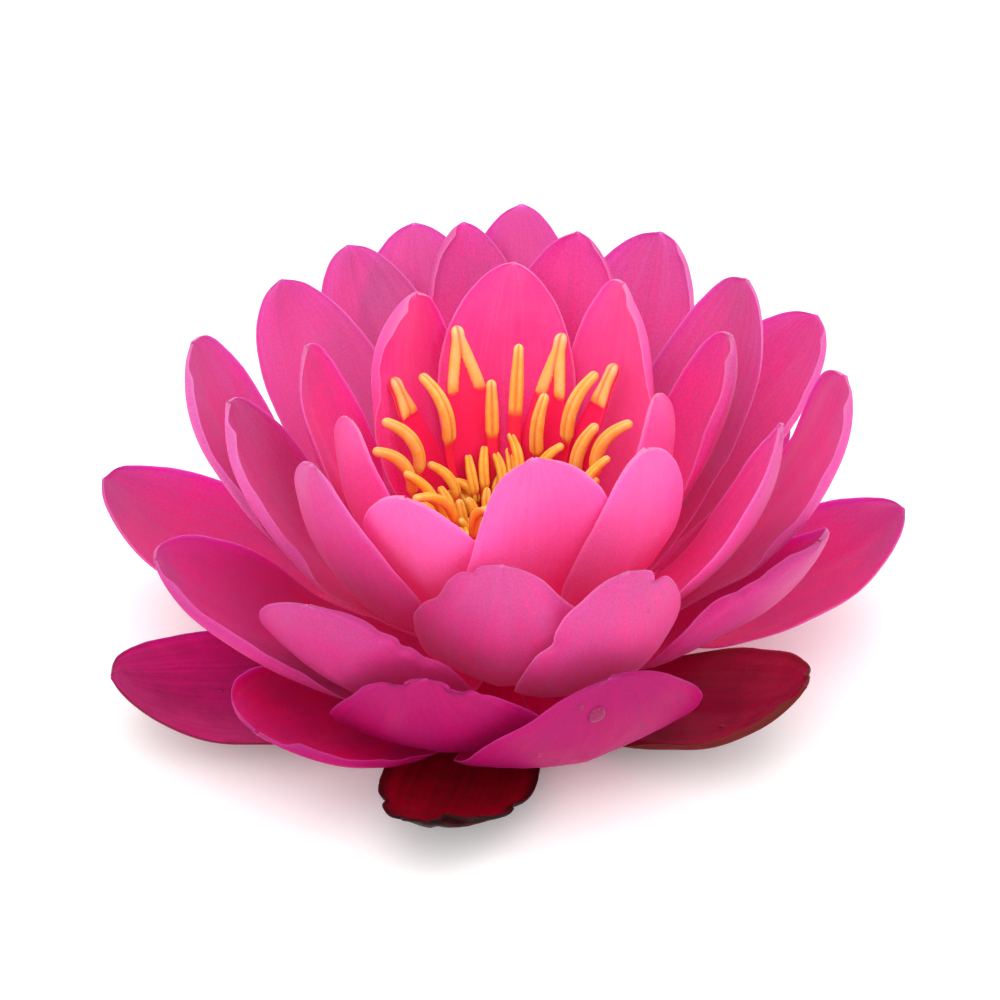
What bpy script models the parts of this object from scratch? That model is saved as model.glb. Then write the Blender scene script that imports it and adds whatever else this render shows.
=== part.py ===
import math
import bpy
import numpy as np

for old in list(bpy.data.objects):
    bpy.data.objects.remove(old, do_unlink=True)

# A double water lily flower, picked with a short stub of stem, standing on a table.
# Lengths in the tables are millimetres and angles are degrees. The object is built in metres.

mm = 0.001
deg = math.pi / 180

# Receptacle: (height, radius) up the outside, from the cut face of the stub to the stamen seat.
receptacleProfile = [
    (0.0, 5.6), (1.7, 5.9), (2.8, 8.6), (4.0, 10.4), (6.0, 11.0), (16.6, 11.0), (18.4, 10.9), (19.0, 10.6),
]
seatTop = 19.0
seatRadius = 11.6
levelDrop = 1.0
crowded = 46

# Each whorl: height of its base row, least angle between two bases, thickness of a petal, and the
# width of its base as a share of the whole width.
whorls = {
    "inner": {"height": 15.9, "spacing": 38, "thick": 1.1, "base": 0.24},
    "second": {"height": 13.8, "spacing": 38, "thick": 1.15, "base": 0.22},
    "cup": {"height": 11.2, "spacing": 34, "thick": 1.2, "base": 0.21},
    "spreading": {"height": 8.9, "spacing": 40, "thick": 1.25, "base": 0.22},
    "low": {"height": 6.5, "spacing": 44, "thick": 1.25, "base": 0.24},
    "sepal": {"height": 4.3, "spacing": 50, "thick": 1.6, "base": 0.3},
}

# From the innermost to the outermost: node, direction, length, width, lift at the base and tip,
# cupping across, roll and sideways bend towards the tip, bluntness of the tip, where it is widest,
# radius and height that its middle line would start from.
petals = [
    ("petal_inner_1", "inner", 90, 53, 26, 43, 72, 63, -6, -7, 0.66, 0.56, 9.0, 15.0),
    ("petal_inner_2", "inner", 43, 56, 26, 43, 99, 35, -19, 2, 0.6, 0.58, 9.0, 15.0),
    ("petal_inner_3", "inner", 131, 53, 25, 52, 99, 47, -7, 2, 0.66, 0.55, 9.0, 15.0),
    ("petal_inner_4", "inner", -21, 52, 17, 37, 105, 67, -16, 4, 0.6, 0.56, 9.0, 15.0),
    ("petal_inner_5", "inner", 210, 51, 21, 33, 102, 94, 9, -10, 0.57, 0.58, 9.0, 15.0),
    ("petal_inner_6", "inner", -111, 64, 24, 31, 72, 73, -3, 5, 0.6, 0.58, 9.0, 15.0),
    ("petal_inner_7", "inner", -81, 62, 28, 39, 82, 77, -11, -7, 0.5, 0.64, 9.0, 15.0),
    ("petal_inner_8", "inner", -53, 61, 21, 29, 91, 28, -1, -4, 0.56, 0.58, 9.0, 15.0),
    ("petal_second_1", "second", 75, 62, 25, 37, 72, 82, 9, -3, 0.66, 0.57, 9.5, 12.5),
    ("petal_second_2", "second", 96, 66, 23, 26, 60, 67, 5, 4, 0.66, 0.56, 9.5, 12.5),
    ("petal_second_3", "second", 179, 58, 25, 43, 89, 67, -10, -4, 0.57, 0.55, 9.5, 12.5),
    ("petal_second_4", "second", 7, 61, 25, 35, 89, 93, 5, 3, 0.55, 0.6, 9.5, 12.5),
    ("petal_second_5", "second", 229, 69, 27, 21, 90, 83, -17, 3, 0.6, 0.58, 9.5, 12.5),
    ("petal_second_6", "second", -31, 71, 28, 19, 88, 75, 14, 12, 0.64, 0.6, 9.5, 11.5),
    ("petal_second_7", "second", -92, 65, 34, 4, 98, 88, -17, 5, 0.6, 0.6, 9.5, 10.0),
    ("petal_second_8", "second", -65, 68, 32, -1, 97, 77, 16, -9, 0.56, 0.6, 9.5, 9.5),
    ("petal_cup_1", "cup", 29, 68, 30, 33, 79, 30, -2, 1, 0.6, 0.57, 9.5, 10.0),
    ("petal_cup_2", "cup", 138, 66, 26, 23, 67, 65, -11, -9, 0.62, 0.57, 9.5, 10.0),
    ("petal_cup_3", "cup", 118, 68, 26, 25, 57, 67, 4, -1, 0.58, 0.57, 9.5, 10.0),
    ("petal_cup_4", "cup", 109, 70, 29, 29, 48, 66, 2, -10, 0.65, 0.58, 9.5, 10.0),
    ("petal_cup_5", "cup", 88, 70, 28, 35, 54, 70, -6, -2, 0.65, 0.56, 9.5, 10.0),
    ("petal_cup_6", "cup", 62, 70, 30, 26, 58, 77, 2, 3, 0.62, 0.58, 9.5, 10.0),
    ("petal_cup_7", "cup", 30, 69, 30, 23, 55, 72, 8, -1, 0.6, 0.58, 9.5, 10.0),
    ("petal_cup_8", "cup", -6, 74, 35, 18, 80, 55, 18, 6, 0.65, 0.62, 9.5, 10.0),
    ("petal_cup_9", "cup", 198, 66, 31, 27, 82, 62, -18, -13, 0.66, 0.58, 9.5, 10.0),
    ("petal_cup_10", "cup", 181, 72, 31, 25, 80, 36, -2, -12, 0.53, 0.65, 9.5, 10.0),
    ("petal_spreading_1", "spreading", 240, 70, 35, 2, 78, 88, 12, -5, 0.57, 0.6, 9.5, 7.5),
    ("petal_spreading_2", "spreading", -32, 65, 36, 8, 67, 92, -10, 10, 0.56, 0.58, 9.5, 7.5),
    ("petal_spreading_3", "spreading", 214, 72, 37, 10, 58, 64, -20, -5, 0.7, 0.54, 9.5, 7.5),
    ("petal_spreading_4", "spreading", 12, 67, 35, -13, 45, 39, 0, -2, 0.65, 0.58, 9.5, 7.5),
    ("petal_spreading_5", "spreading", 163, 69, 37, -8, 44, 42, 3, 6, 0.6, 0.6, 9.5, 7.5),
    ("petal_spreading_6", "spreading", 47, 66, 31, -2, 34, 50, 4, 3, 0.62, 0.58, 9.5, 7.5),
    ("petal_spreading_7", "spreading", 108, 60, 31, 5, 35, 50, -4, -4, 0.62, 0.58, 9.5, 7.5),
    ("petal_low_1", "low", -103, 65, 40, -14, 84, 50, 8, 0, 0.6, 0.57, 9.0, 5.8),
    ("petal_low_2", "low", -75, 66, 44, -20, 90, 42, 4, 8, 0.58, 0.6, 9.0, 5.8),
    ("petal_low_3", "low", 229, 64, 34, -2, 37, 44, -16, 11, 0.6, 0.57, 9.0, 5.8),
    ("petal_low_4", "low", 80, 65, 31, -2, 28, 45, 3, 2, 0.62, 0.58, 9.0, 5.8),
    ("petal_low_5", "low", 136, 56, 31, -3, 26, 45, -3, -3, 0.62, 0.58, 9.0, 5.8),
    ("sepal_1", "sepal", 202, 67, 34, -13, 34, 40, -8, -2, 0.64, 0.56, 8.0, 4.0),
    ("sepal_2", "sepal", -99, 65, 27, -12, 34, 50, 0, -3, 0.6, 0.56, 8.0, 4.0),
    ("sepal_3", "sepal", -35, 59, 33, -13, 48, 40, 10, 1, 0.7, 0.56, 8.0, 4.0),
    ("sepal_4", "sepal", 86, 64, 28, -16, 28, 50, 0, 2, 0.62, 0.56, 8.0, 4.0),
]

rowsAlong = np.array([0.0, 0.1, 0.22, 0.35, 0.48, 0.61, 0.74, 0.86, 0.95, 1.0])
across = np.array([-1.0, -0.68, -0.34, 0.0, 0.34, 0.68, 1.0])
clearance = 0.45
lowest = 0.95

# How a petal gives way: how far to the side and how deep inside a neighbour is still felt, the
# most steps, the shortfall that is left alone, and how strongly each step acts.
feltAside = 2.6
feltDepth = 16
settleSteps = 90
smallEnough = 0.03
leastShare = 0.25
stepStrength = 1.5


def halfWidth(u, width, base, widest, blunt):
    rise = base + (1 - base) * np.sin(np.pi / 2 * np.clip(u / widest, 0, 1)) ** 1.45
    past = np.clip((u - widest) / (1 - widest), 0, 1)
    fall = np.maximum(1 - past ** 2.2, 0) ** blunt
    return np.maximum(np.where(u < widest, rise, fall), 0.05) * width / 2


def thickness(thick):
    along = np.interp(rowsAlong, [0, 0.12, 0.5, 0.86, 1.0], [0.62, 1.0, 0.9, 0.6, 0.35]) * thick
    side = np.sqrt(np.maximum(1 - across ** 2, 0))
    return along[:, None] * side[None, :]


# Bases in one whorl are nudged round the receptacle until none crowds its neighbour.
def seatAngles(angles, spacing):
    seats = np.array(angles, float)
    order = np.argsort(seats)
    seats = seats[order]
    for step in range(400):
        gaps = np.roll(seats, -1) - seats
        gaps[-1] += 360
        short = np.maximum(spacing - gaps, 0) * 0.25
        seats = seats - short + np.roll(short, 1)
    out = np.zeros(len(seats))
    out[order] = seats
    return out


# A base beside one that lies further in is seated a little lower, so that it can pass under it.
def seatHeights(rows, angles, height):
    seats = {}
    for k, row in enumerate(rows):
        levels = []
        for j in range(k):
            apart = abs((angles[k] - angles[j] + 180) % 360 - 180)
            if apart < crowded:
                levels.append(seats[rows[j][0]][2])
        seats[row[0]] = (angles[k], height, (min(levels) + 1 if levels else 0) % 2)
    return {name: (angle, z - levelDrop * level) for name, (angle, z, level) in seats.items()}


def petalSurface(row, seat, seatZ):
    name, whorl, az, length, width, lift0, lift1, cup, roll, skew, blunt, widest, r0, z0 = row
    kind = whorls[whorl]
    fine = np.linspace(0, 1, 61)
    lift = (lift0 + (lift1 - lift0) * fine ** 1.2) * deg
    turn = (az + skew * fine) * deg
    along = np.stack([np.cos(lift) * np.cos(turn), np.cos(lift) * np.sin(turn), np.sin(lift)], -1)
    start = np.array([r0 * math.cos(az * deg), r0 * math.sin(az * deg), z0])
    steps = (along[1:] + along[:-1]) / 2 * (length / 60)
    line = start + np.concatenate([np.zeros((1, 3)), np.cumsum(steps, 0)])
    foot = np.array([seatRadius * math.cos(seat * deg), seatRadius * math.sin(seat * deg), seatZ])
    fade = np.clip(1 - fine / 0.55, 0, 1)
    fade = fade * fade * (3 - 2 * fade)
    line = line + (foot - start) * fade[:, None]
    faceTurn = (seat * fade + (az + skew * fine) * (1 - fade)) * deg
    side = np.stack([-np.sin(faceTurn), np.cos(faceTurn), np.zeros(61)], -1)
    tangent = np.gradient(line, axis=0)
    tangent /= np.linalg.norm(tangent, axis=1)[:, None]
    up = np.cross(tangent, side)
    up /= np.linalg.norm(up, axis=1)[:, None]
    square = np.cross(up, tangent)
    side = square + (side - square) * (fade ** 3)[:, None]
    side /= np.linalg.norm(side, axis=1)[:, None]
    twist = roll * deg * fine * (1 - fade)
    side, up = (
        side * np.cos(twist)[:, None] + up * np.sin(twist)[:, None],
        up * np.cos(twist)[:, None] - side * np.sin(twist)[:, None],
    )
    half = halfWidth(fine, width, kind["base"], widest, blunt)
    bend = max(cup, 3) * deg / width
    grid = np.zeros((len(rowsAlong), len(across), 3))
    for i, u in enumerate(rowsAlong):
        def at(values):
            return np.array([np.interp(u, fine, values[:, c]) for c in range(3)])
        h = float(np.interp(u, fine, half))
        s = h * across
        centre, sideAt, upAt = at(line), at(side), at(up)
        sideways = np.outer(np.sin(bend * s) / bend, sideAt)
        grid[i] = centre + sideways + np.outer((1 - np.cos(bend * s)) / bend, upAt)
    return grid


# Inward or upward facing normals of a grid of points.
def gridNormals(grid):
    du = np.gradient(grid, axis=0)
    dv = np.gradient(grid, axis=1)
    normal = np.cross(du, dv)
    return normal / np.maximum(np.linalg.norm(normal, axis=2), 1e-9)[:, :, None]


def refiner(values, factor):
    n = len(values)
    fine = np.linspace(0, n - 1, (n - 1) * factor + 1)
    matrix = np.zeros((len(fine), n))
    for i, x in enumerate(fine):
        k = min(int(x), n - 2)
        matrix[i, k] = 1 - (x - k)
        matrix[i, k + 1] = x - k
    return matrix


refineRows = refiner(rowsAlong, 2)
refineAcross = refiner(across, 2)


def refine(grid):
    return np.einsum("ai,ijk,bj->abk", refineRows, grid, refineAcross)


def spread(values):
    return np.einsum("ai,abk,bj->ijk", refineRows, values, refineAcross)


def smooth(field):
    for axis in (0, 1):
        size = field.shape[axis]
        before = np.take(field, [max(i - 1, 0) for i in range(size)], axis)
        after = np.take(field, [min(i + 1, size - 1) for i in range(size)], axis)
        field = (before + 2 * field + after) / 4
    return field


# No petal dips below the table or into the receptacle.
def keepClear(points):
    points = points.copy()
    points[..., 2] = np.maximum(points[..., 2], lowest)
    radius = np.linalg.norm(points[..., :2], axis=-1)
    inside = (radius < seatRadius + 0.4) & (points[..., 2] < seatTop + 0.6)
    scale = np.where(inside, (seatRadius + 0.4) / np.maximum(radius, 1e-6), 1)
    points[..., :2] *= scale[..., None]
    return points


# An outer petal gives way to those inside it: each point that comes too near an inner petal is
# moved out along that petal's back, and the move is shared with the points around it.
def settle(grid, thick, placed):
    grid = grid.copy()
    fineThick = refine(thick[:, :, None])[:, :, 0].ravel()
    hold = np.clip(rowsAlong / 0.12, 0, 1)[:, None, None]
    shape = (refineRows.shape[0], refineAcross.shape[0])
    for step in range(settleSteps):
        points = refine(grid).reshape(-1, 3)
        need = np.zeros((len(points), 3))
        most = np.zeros(len(points))
        for other in placed:
            gapTo = points[:, None, :] - other["points"][None, :, :]
            near = np.einsum("abk,abk->ab", gapTo, gapTo).argmin(1)
            offset = gapTo[np.arange(len(points)), near]
            normal = other["outward"][near]
            height = np.einsum("ak,ak->a", offset, normal)
            slide = np.linalg.norm(offset - height[:, None] * normal, axis=1)
            wanted = (fineThick + other["thick"][near]) / 2 + clearance
            short = np.where((slide < feltAside) & (height > -feltDepth), wanted - height, 0)
            bigger = short > most
            most = np.where(bigger, short, most)
            need = np.where(bigger[:, None], short[:, None] * normal, need)
        if most.reshape(shape)[1:].max() < smallEnough:
            break
        weight = spread((most > 0).astype(float).reshape(*shape, 1))
        push = spread(need.reshape(*shape, 3)) / np.maximum(weight, leastShare)
        grid += smooth(smooth(push)) * stepStrength * hold
        grid[1:] = keepClear(grid[1:])
    return grid


def place():
    placed = []
    seats = {}
    for whorl, kind in whorls.items():
        rows = [row for row in petals if row[1] == whorl]
        angles = seatAngles([row[2] for row in rows], kind["spacing"])
        seats.update(seatHeights(rows, angles, kind["height"]))
    for row in petals:
        kind = whorls[row[1]]
        grid = petalSurface(row, *seats[row[0]])
        grid[1:] = keepClear(grid[1:])
        thick = thickness(kind["thick"])
        facing = grid[5, 3, :2] / np.linalg.norm(grid[5, 3, :2])
        around = [other for other in placed if other["facing"] @ facing > 0.1]
        grid = settle(grid, thick, around)
        fine = refine(grid)
        placed.append({
            "name": row[0],
            "whorl": row[1],
            "grid": grid,
            "thickGrid": thick,
            "facing": facing,
            "points": fine.reshape(-1, 3),
            "outward": -gridNormals(fine).reshape(-1, 3),
            "thick": refine(thick[:, :, None]).ravel(),
        })
    return placed


# One closed solid per petal: an inner and an outer skin that meet along the margin.
def petalMesh(grid, thick):
    normal = gridNormals(grid)
    normal[-1] = normal[-2]
    inner = grid + normal * thick[:, :, None] / 2
    outer = grid - normal * thick[:, :, None] / 2
    rows, cols = grid.shape[:2]
    verts = []
    for i in range(rows):
        verts += [tuple(p) for p in inner[i]]
        verts += [tuple(p) for p in outer[i, 1:-1][::-1]]
    ring = 2 * cols - 2
    faces = []
    for i in range(rows - 1):
        for j in range(ring):
            k = (j + 1) % ring
            faces.append((i * ring + j, (i + 1) * ring + j, (i + 1) * ring + k, i * ring + k))
    for base, forward in ((0, True), ((rows - 1) * ring, False)):
        upper = [base + j for j in range(cols)]
        lower = [base] + [base + ring - j for j in range(1, cols - 1)] + [base + cols - 1]
        for j in range(cols - 1):
            loop = [upper[j], upper[j + 1], lower[j + 1], lower[j]]
            loop = list(dict.fromkeys(loop))
            faces.append(tuple(loop if forward else loop[::-1]))
    return verts, faces


# Outer stamens, placed one by one. Petaloid ones are broad blades that end in a point.
# node, kind, direction of the base, direction of the lean, base radius, length, lift of the
# filament, lift where the anther starts, lift at the tip, greatest width
outerStamens = [
    ("stamen_outer_1", "petaloid", 144, 145, 9.9, 33, 66, 65, 60, 7.4),
    ("stamen_outer_2", "petaloid", 111, 111, 9.9, 38, 70, 68, 64, 10.0),
    ("stamen_outer_3", "petaloid", 66, 64, 9.9, 37, 70, 68, 62, 8.0),
    ("stamen_outer_4", "petaloid", 38, 40, 9.9, 35, 68, 63, 58, 6.5),
    ("stamen_outer_5", "curved", 164, 166, 8.7, 31, 65, 104, 4, 2.1),
    ("stamen_outer_6", "curved", 133, 138, 8.7, 34, 72, 102, 14, 2.2),
    ("stamen_outer_7", "straight", 101, 94, 8.7, 29, 73, 77, 73, 2.0),
    ("stamen_outer_8", "straight", 84, 82, 8.7, 35, 73, 72, 66, 2.6),
    ("stamen_outer_9", "curved", 66, 58, 8.8, 28, 73, 104, 46, 2.0),
    ("stamen_outer_10", "curved", 50, 42, 8.7, 34, 66, 98, 14, 2.1),
    ("stamen_outer_11", "curved", 31, 27, 8.6, 26, 66, 98, 32, 2.0),
    ("stamen_outer_12", "curved", 14, 14, 8.7, 31, 62, 104, 6, 2.2),
    ("stamen_outer_13", "curved", 184, 186, 8.7, 30, 62, 100, 4, 2.0),
]
stamenFoot = 19.35
innerFoot = 19.7
stamenShapes = {
    "petaloid": {
        "rows": 9, "turns": (0, 0.5, 0.6, 1),
        "width": [(0, 0.3), (0.25, 0.75), (0.5, 1.0), (0.75, 0.66), (0.9, 0.36), (1, 0.12)],
        "thick": [(0, 0.7), (0.6, 0.9), (0.85, 1.2), (1, 0.6)],
    },
    "curved": {
        "rows": 10, "turns": (0, 0.48, 0.6, 1),
        "width": [(0, 0.8), (0.5, 0.75), (0.6, 1.0), (0.9, 0.9), (1, 0.4)],
        "thick": [(0, 0.7), (0.5, 0.8), (0.62, 1.5), (0.9, 1.3), (1, 0.6)],
    },
    "straight": {
        "rows": 8, "turns": (0, 0.5, 0.6, 1),
        "width": [(0, 0.8), (0.5, 0.75), (0.6, 1.0), (0.9, 0.9), (1, 0.4)],
        "thick": [(0, 0.7), (0.5, 0.8), (0.62, 1.4), (0.9, 1.2), (1, 0.6)],
    },
    "short": {
        "rows": 7, "turns": (0, 0.4, 0.5, 1),
        "width": [(0, 0.8), (0.4, 0.8), (0.52, 1.0), (0.85, 0.95), (1, 0.45)],
        "thick": [(0, 0.8), (0.4, 0.8), (0.52, 1.35), (0.85, 1.2), (1, 0.6)],
    },
}
loopShape = ((-1, 0), (-0.55, 1), (0.55, 1), (1, 0), (0.55, -1), (-0.55, -1))

# The two inner whorls each grow from one collar: radii of the collar, radius of the stamens' feet,
# their directions, and the least and greatest of their lengths and lifts at the back and the front.
innerWhorls = {
    "stamens_middle": {
        "collar": (6.9, 8.0), "foot": 7.45, "width": 1.6, "seed": 4,
        "back": {"at": (4, 22, 40, 57, 75, 92, 112, 124, 148, 174), "length": (14, 21),
                 "lean": (73, 76), "start": (92, 104), "tip": (-10, 40)},
        "front": {"at": (196, 212, 228, 244, 260, 276, 292, 308, 324, 344), "length": (24, 29),
                  "lean": (62, 66), "start": (88, 100), "tip": (-10, 30)},
    },
    "stamens_inner": {
        "collar": (5.6, 6.55), "foot": 6.1, "width": 1.35, "seed": 9,
        "back": {"at": (12, 33, 54, 75, 96, 118, 140, 162), "length": (8, 13),
                 "lean": (81, 84), "start": (90, 98), "tip": (40, 75)},
        "front": {"at": (184, 206, 228, 250, 272, 294, 316, 338), "length": (11, 15),
                  "lean": (78, 81), "start": (90, 98), "tip": (35, 70)},
    },
}
collarHeights = (19.3, 20.2)

# The stigma disc: (radius, height), a shallow bowl with a knob in the middle.
discProfile = [(4.2, 19.3), (5.2, 20.1), (5.2, 21.3), (4.3, 21.0), (2.6, 20.6), (1.5, 20.7), (0.9, 21.5)]
collarSegments, discSegments, receptacleSegments = 40, 32, 36


def rod(kind, seat, turn, r0, z0, length, lean, start, tip, width):
    shape = stamenShapes[kind]
    fine = np.linspace(0, 1, 41)
    lift = np.interp(fine, shape["turns"], (lean, lean, start, tip))
    lift = np.convolve(np.pad(lift, 3, mode="edge"), np.ones(7) / 7, mode="valid") * deg
    az = (seat + (turn - seat) * np.clip(fine * 3, 0, 1)) * deg
    along = np.stack([np.cos(lift) * np.cos(az), np.cos(lift) * np.sin(az), np.sin(lift)], -1)
    foot = np.array([r0 * math.cos(seat * deg), r0 * math.sin(seat * deg), z0])
    steps = (along[1:] + along[:-1]) / 2 * (length / 40)
    line = foot + np.concatenate([np.zeros((1, 3)), np.cumsum(steps, 0)])
    side = np.stack([-np.sin(az), np.cos(az), np.zeros(41)], -1)
    up = np.cross(along, side)
    rows = np.linspace(0, 1, shape["rows"])
    verts = []
    for u in rows:
        at = [np.array([np.interp(u, fine, v[:, c]) for c in range(3)]) for v in (line, side, up)]
        w = np.interp(u, *zip(*shape["width"])) * width / 2
        t = np.interp(u, *zip(*shape["thick"])) / 2
        for a, b in loopShape:
            verts.append(tuple(at[0] + at[1] * w * a + at[2] * t * b))
    faces = [tuple(range(6))]
    for i in range(len(rows) - 1):
        for j in range(6):
            k = (j + 1) % 6
            faces.append((i * 6 + j, (i + 1) * 6 + j, (i + 1) * 6 + k, i * 6 + k))
    last = (len(rows) - 1) * 6
    faces.append(tuple(last + j for j in reversed(range(6))))
    return verts, faces


def whorlRods(spec):
    rng = np.random.default_rng(spec["seed"])
    rods = []
    for part in (spec["back"], spec["front"]):
        for az in part["at"]:
            turn = az + rng.uniform(-3, 3)
            bends = [rng.uniform(*part[key]) for key in ("length", "lean", "start", "tip")]
            rods.append(rod("short", az, turn, spec["foot"], innerFoot, *bends, spec["width"]))
    return rods


# The receptacle and the stigma disc are turned about the axis: rings of points joined by quads.
def turned(profile, segments):
    verts = []
    for radius, z in profile:
        for k in range(segments):
            a = 2 * math.pi * k / segments
            verts.append((radius * math.cos(a), radius * math.sin(a), z))
    faces = [tuple(reversed(range(segments)))]
    for i in range(len(profile) - 1):
        for k in range(segments):
            j = (k + 1) % segments
            above = (i + 1) * segments
            faces.append((i * segments + k, i * segments + j, above + j, above + k))
    last = (len(profile) - 1) * segments
    faces.append(tuple(range(last, last + segments)))
    return verts, faces


def collarMesh(inside, outside, low, high, segments):
    verts = []
    for radius, z in ((inside, low), (outside, low), (outside, high), (inside, high)):
        for k in range(segments):
            a = 2 * math.pi * (k + 0.5) / segments
            verts.append((radius * math.cos(a), radius * math.sin(a), z))
    faces = []
    for i in range(4):
        for k in range(segments):
            j = (k + 1) % segments
            n = (i + 1) % 4
            faces.append((i * segments + k, i * segments + j, n * segments + j, n * segments + k))
    return verts, faces


colours = {
    "inner": (0.93, 0.16, 0.38, 1),
    "second": (0.9, 0.13, 0.35, 1),
    "cup": (0.84, 0.12, 0.34, 1),
    "spreading": (0.78, 0.08, 0.3, 1),
    "low": (0.7, 0.06, 0.26, 1),
    "sepal": (0.42, 0.02, 0.09, 1),
    "petaloid": (0.95, 0.24, 0.2, 1),
    "anther": (0.96, 0.52, 0.12, 1),
    "stigma": (0.9, 0.62, 0.16, 1),
    "receptacle": (0.36, 0.34, 0.12, 1),
}


def addObject(name, verts, faces, colour):
    mesh = bpy.data.meshes.new(name)
    points = (np.array(verts, float) - middle) * mm
    mesh.from_pydata([tuple(p) for p in points], [], faces)
    mesh.validate()
    obj = bpy.data.objects.new(name, mesh)
    bpy.context.scene.collection.objects.link(obj)
    material = bpy.data.materials.new(name + "_surface")
    material.use_nodes = True
    shader = material.node_tree.nodes["Principled BSDF"]
    shader.inputs["Base Color"].default_value = colours[colour]
    shader.inputs["Roughness"].default_value = 0.5
    mesh.materials.append(material)
    return obj


def joined(parts):
    verts, faces = [], []
    for v, f in parts:
        faces += [tuple(i + len(verts) for i in face) for face in f]
        verts += v
    return verts, faces


petalShapes = [(item, petalMesh(item["grid"], item["thickGrid"])) for item in place()]

# The origin is on the table, under the middle of the flower's spread.
corners = np.concatenate([np.array(verts) for item, (verts, faces) in petalShapes])
middle = (corners.min(0) + corners.max(0)) / 2
middle[2] = 0

for item, (verts, faces) in petalShapes:
    addObject(item["name"], verts, faces, item["whorl"])

for row in outerStamens:
    verts, faces = rod(row[1], row[2], row[3], row[4], stamenFoot, *row[5:])
    addObject(row[0], verts, faces, "petaloid" if row[1] == "petaloid" else "anther")

# Every stamen of an inner whorl is fused with its collar into one body.
for name, spec in innerWhorls.items():
    collar = collarMesh(*spec["collar"], *collarHeights, collarSegments)
    whorlObject = addObject(name, *collar, "anther")
    rodObject = addObject(name + "_rods", *joined(whorlRods(spec)), "anther")
    fuse = whorlObject.modifiers.new("fuse", "BOOLEAN")
    fuse.operation = "UNION"
    fuse.solver = "EXACT"
    fuse.object = rodObject
    bpy.context.view_layer.update()
    evaluated = whorlObject.evaluated_get(bpy.context.evaluated_depsgraph_get())
    shaped = bpy.data.meshes.new_from_object(evaluated)
    whorlObject.modifiers.clear()
    whorlObject.data = shaped
    shaped.materials.clear()
    shaped.materials.append(bpy.data.materials[name + "_surface"])
    bpy.data.objects.remove(rodObject, do_unlink=True)

addObject("stigma_disc", *turned(discProfile, discSegments), "stigma")
receptacleRings = [(radius, z) for z, radius in receptacleProfile]
addObject("receptacle", *turned(receptacleRings, receptacleSegments), "receptacle")
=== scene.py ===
import math
import bpy
import numpy as np
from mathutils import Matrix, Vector


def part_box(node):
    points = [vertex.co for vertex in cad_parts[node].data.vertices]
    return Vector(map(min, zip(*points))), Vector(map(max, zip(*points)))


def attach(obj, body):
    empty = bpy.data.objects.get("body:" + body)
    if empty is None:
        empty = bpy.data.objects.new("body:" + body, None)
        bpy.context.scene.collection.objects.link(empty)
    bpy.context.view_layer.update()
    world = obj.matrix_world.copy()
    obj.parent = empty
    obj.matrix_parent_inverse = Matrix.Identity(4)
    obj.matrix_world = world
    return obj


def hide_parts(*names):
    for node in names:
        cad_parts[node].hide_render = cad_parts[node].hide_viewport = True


# Water lily flower, standing on its cut stub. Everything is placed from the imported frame.
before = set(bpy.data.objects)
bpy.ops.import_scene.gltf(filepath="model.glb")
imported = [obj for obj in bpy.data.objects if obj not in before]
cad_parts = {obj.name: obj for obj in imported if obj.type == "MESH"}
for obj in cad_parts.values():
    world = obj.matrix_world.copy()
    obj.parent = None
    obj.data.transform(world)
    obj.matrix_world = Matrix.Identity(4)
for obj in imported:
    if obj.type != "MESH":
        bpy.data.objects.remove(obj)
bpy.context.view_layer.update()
scene = bpy.context.scene
mm = 0.001
deg = math.pi / 180

seatLow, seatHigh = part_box("receptacle")
axisX = (seatLow.x + seatHigh.x) / 2
axisY = (seatLow.y + seatHigh.y) / 2
flowerAxis = np.array([axisX, axisY, 0.0])
print("frame loaded:", len(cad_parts), "pieces")


def smoothStep(x, low, high):
    t = np.clip((np.asarray(x, float) - low) / (high - low), 0, 1)
    return t * t * (3 - 2 * t)


def bump(x, centre, width):
    return np.exp(-((np.asarray(x, float) - centre) / width) ** 2)


def unit(vectors):
    return vectors / np.maximum(np.linalg.norm(vectors, axis=-1, keepdims=True), 1e-12)


# A smooth curve through rows of points: a natural cubic spline.
def throughKnots(knots, values, wanted):
    n = len(knots)
    gap = np.diff(knots)
    system = np.eye(n)
    right = np.zeros((n,) + values.shape[1:])
    for i in range(1, n - 1):
        system[i, i - 1:i + 2] = gap[i - 1], 2 * (gap[i - 1] + gap[i]), gap[i]
        after, before = (values[i + 1] - values[i]) / gap[i], (values[i] - values[i - 1]) / gap[i - 1]
        right[i] = 6 * (after - before)
    bend = np.linalg.solve(system, right.reshape(n, -1)).reshape(right.shape)
    k = np.clip(np.searchsorted(knots, wanted, side="right") - 1, 0, n - 2)
    shape = (len(wanted),) + (1,) * (values.ndim - 1)
    h = gap[k].reshape(shape)
    b = (np.asarray(wanted) - knots[k]).reshape(shape) / h
    a = 1 - b
    curve = a * values[k] + b * values[k + 1]
    return curve + ((a ** 3 - a) * bend[k] + (b ** 3 - b) * bend[k + 1]) * h ** 2 / 6


# Every petal and outer stamen in the frame is a stack of closed loops of points. They are found again
# by stepping from loop to loop, from the foot by the receptacle up to the tip.
footHeight = 10 * mm
aboveFlower = 60 * mm  # a point that the inner faces look at


# The different points of a piece, and each triangle as three of them.
def readPoints(piece):
    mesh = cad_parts[piece].data
    mesh.calc_loop_triangles()
    places = np.array([v.co for v in mesh.vertices], float)
    rounded = np.round(places * 1e6).astype(int)  # points in the same micrometre are one
    first, which = np.unique(rounded, axis=0, return_index=True, return_inverse=True)[1:]
    corners = which.reshape(-1)[np.array([t.vertices for t in mesh.loop_triangles])]
    return places[first], corners


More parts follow.
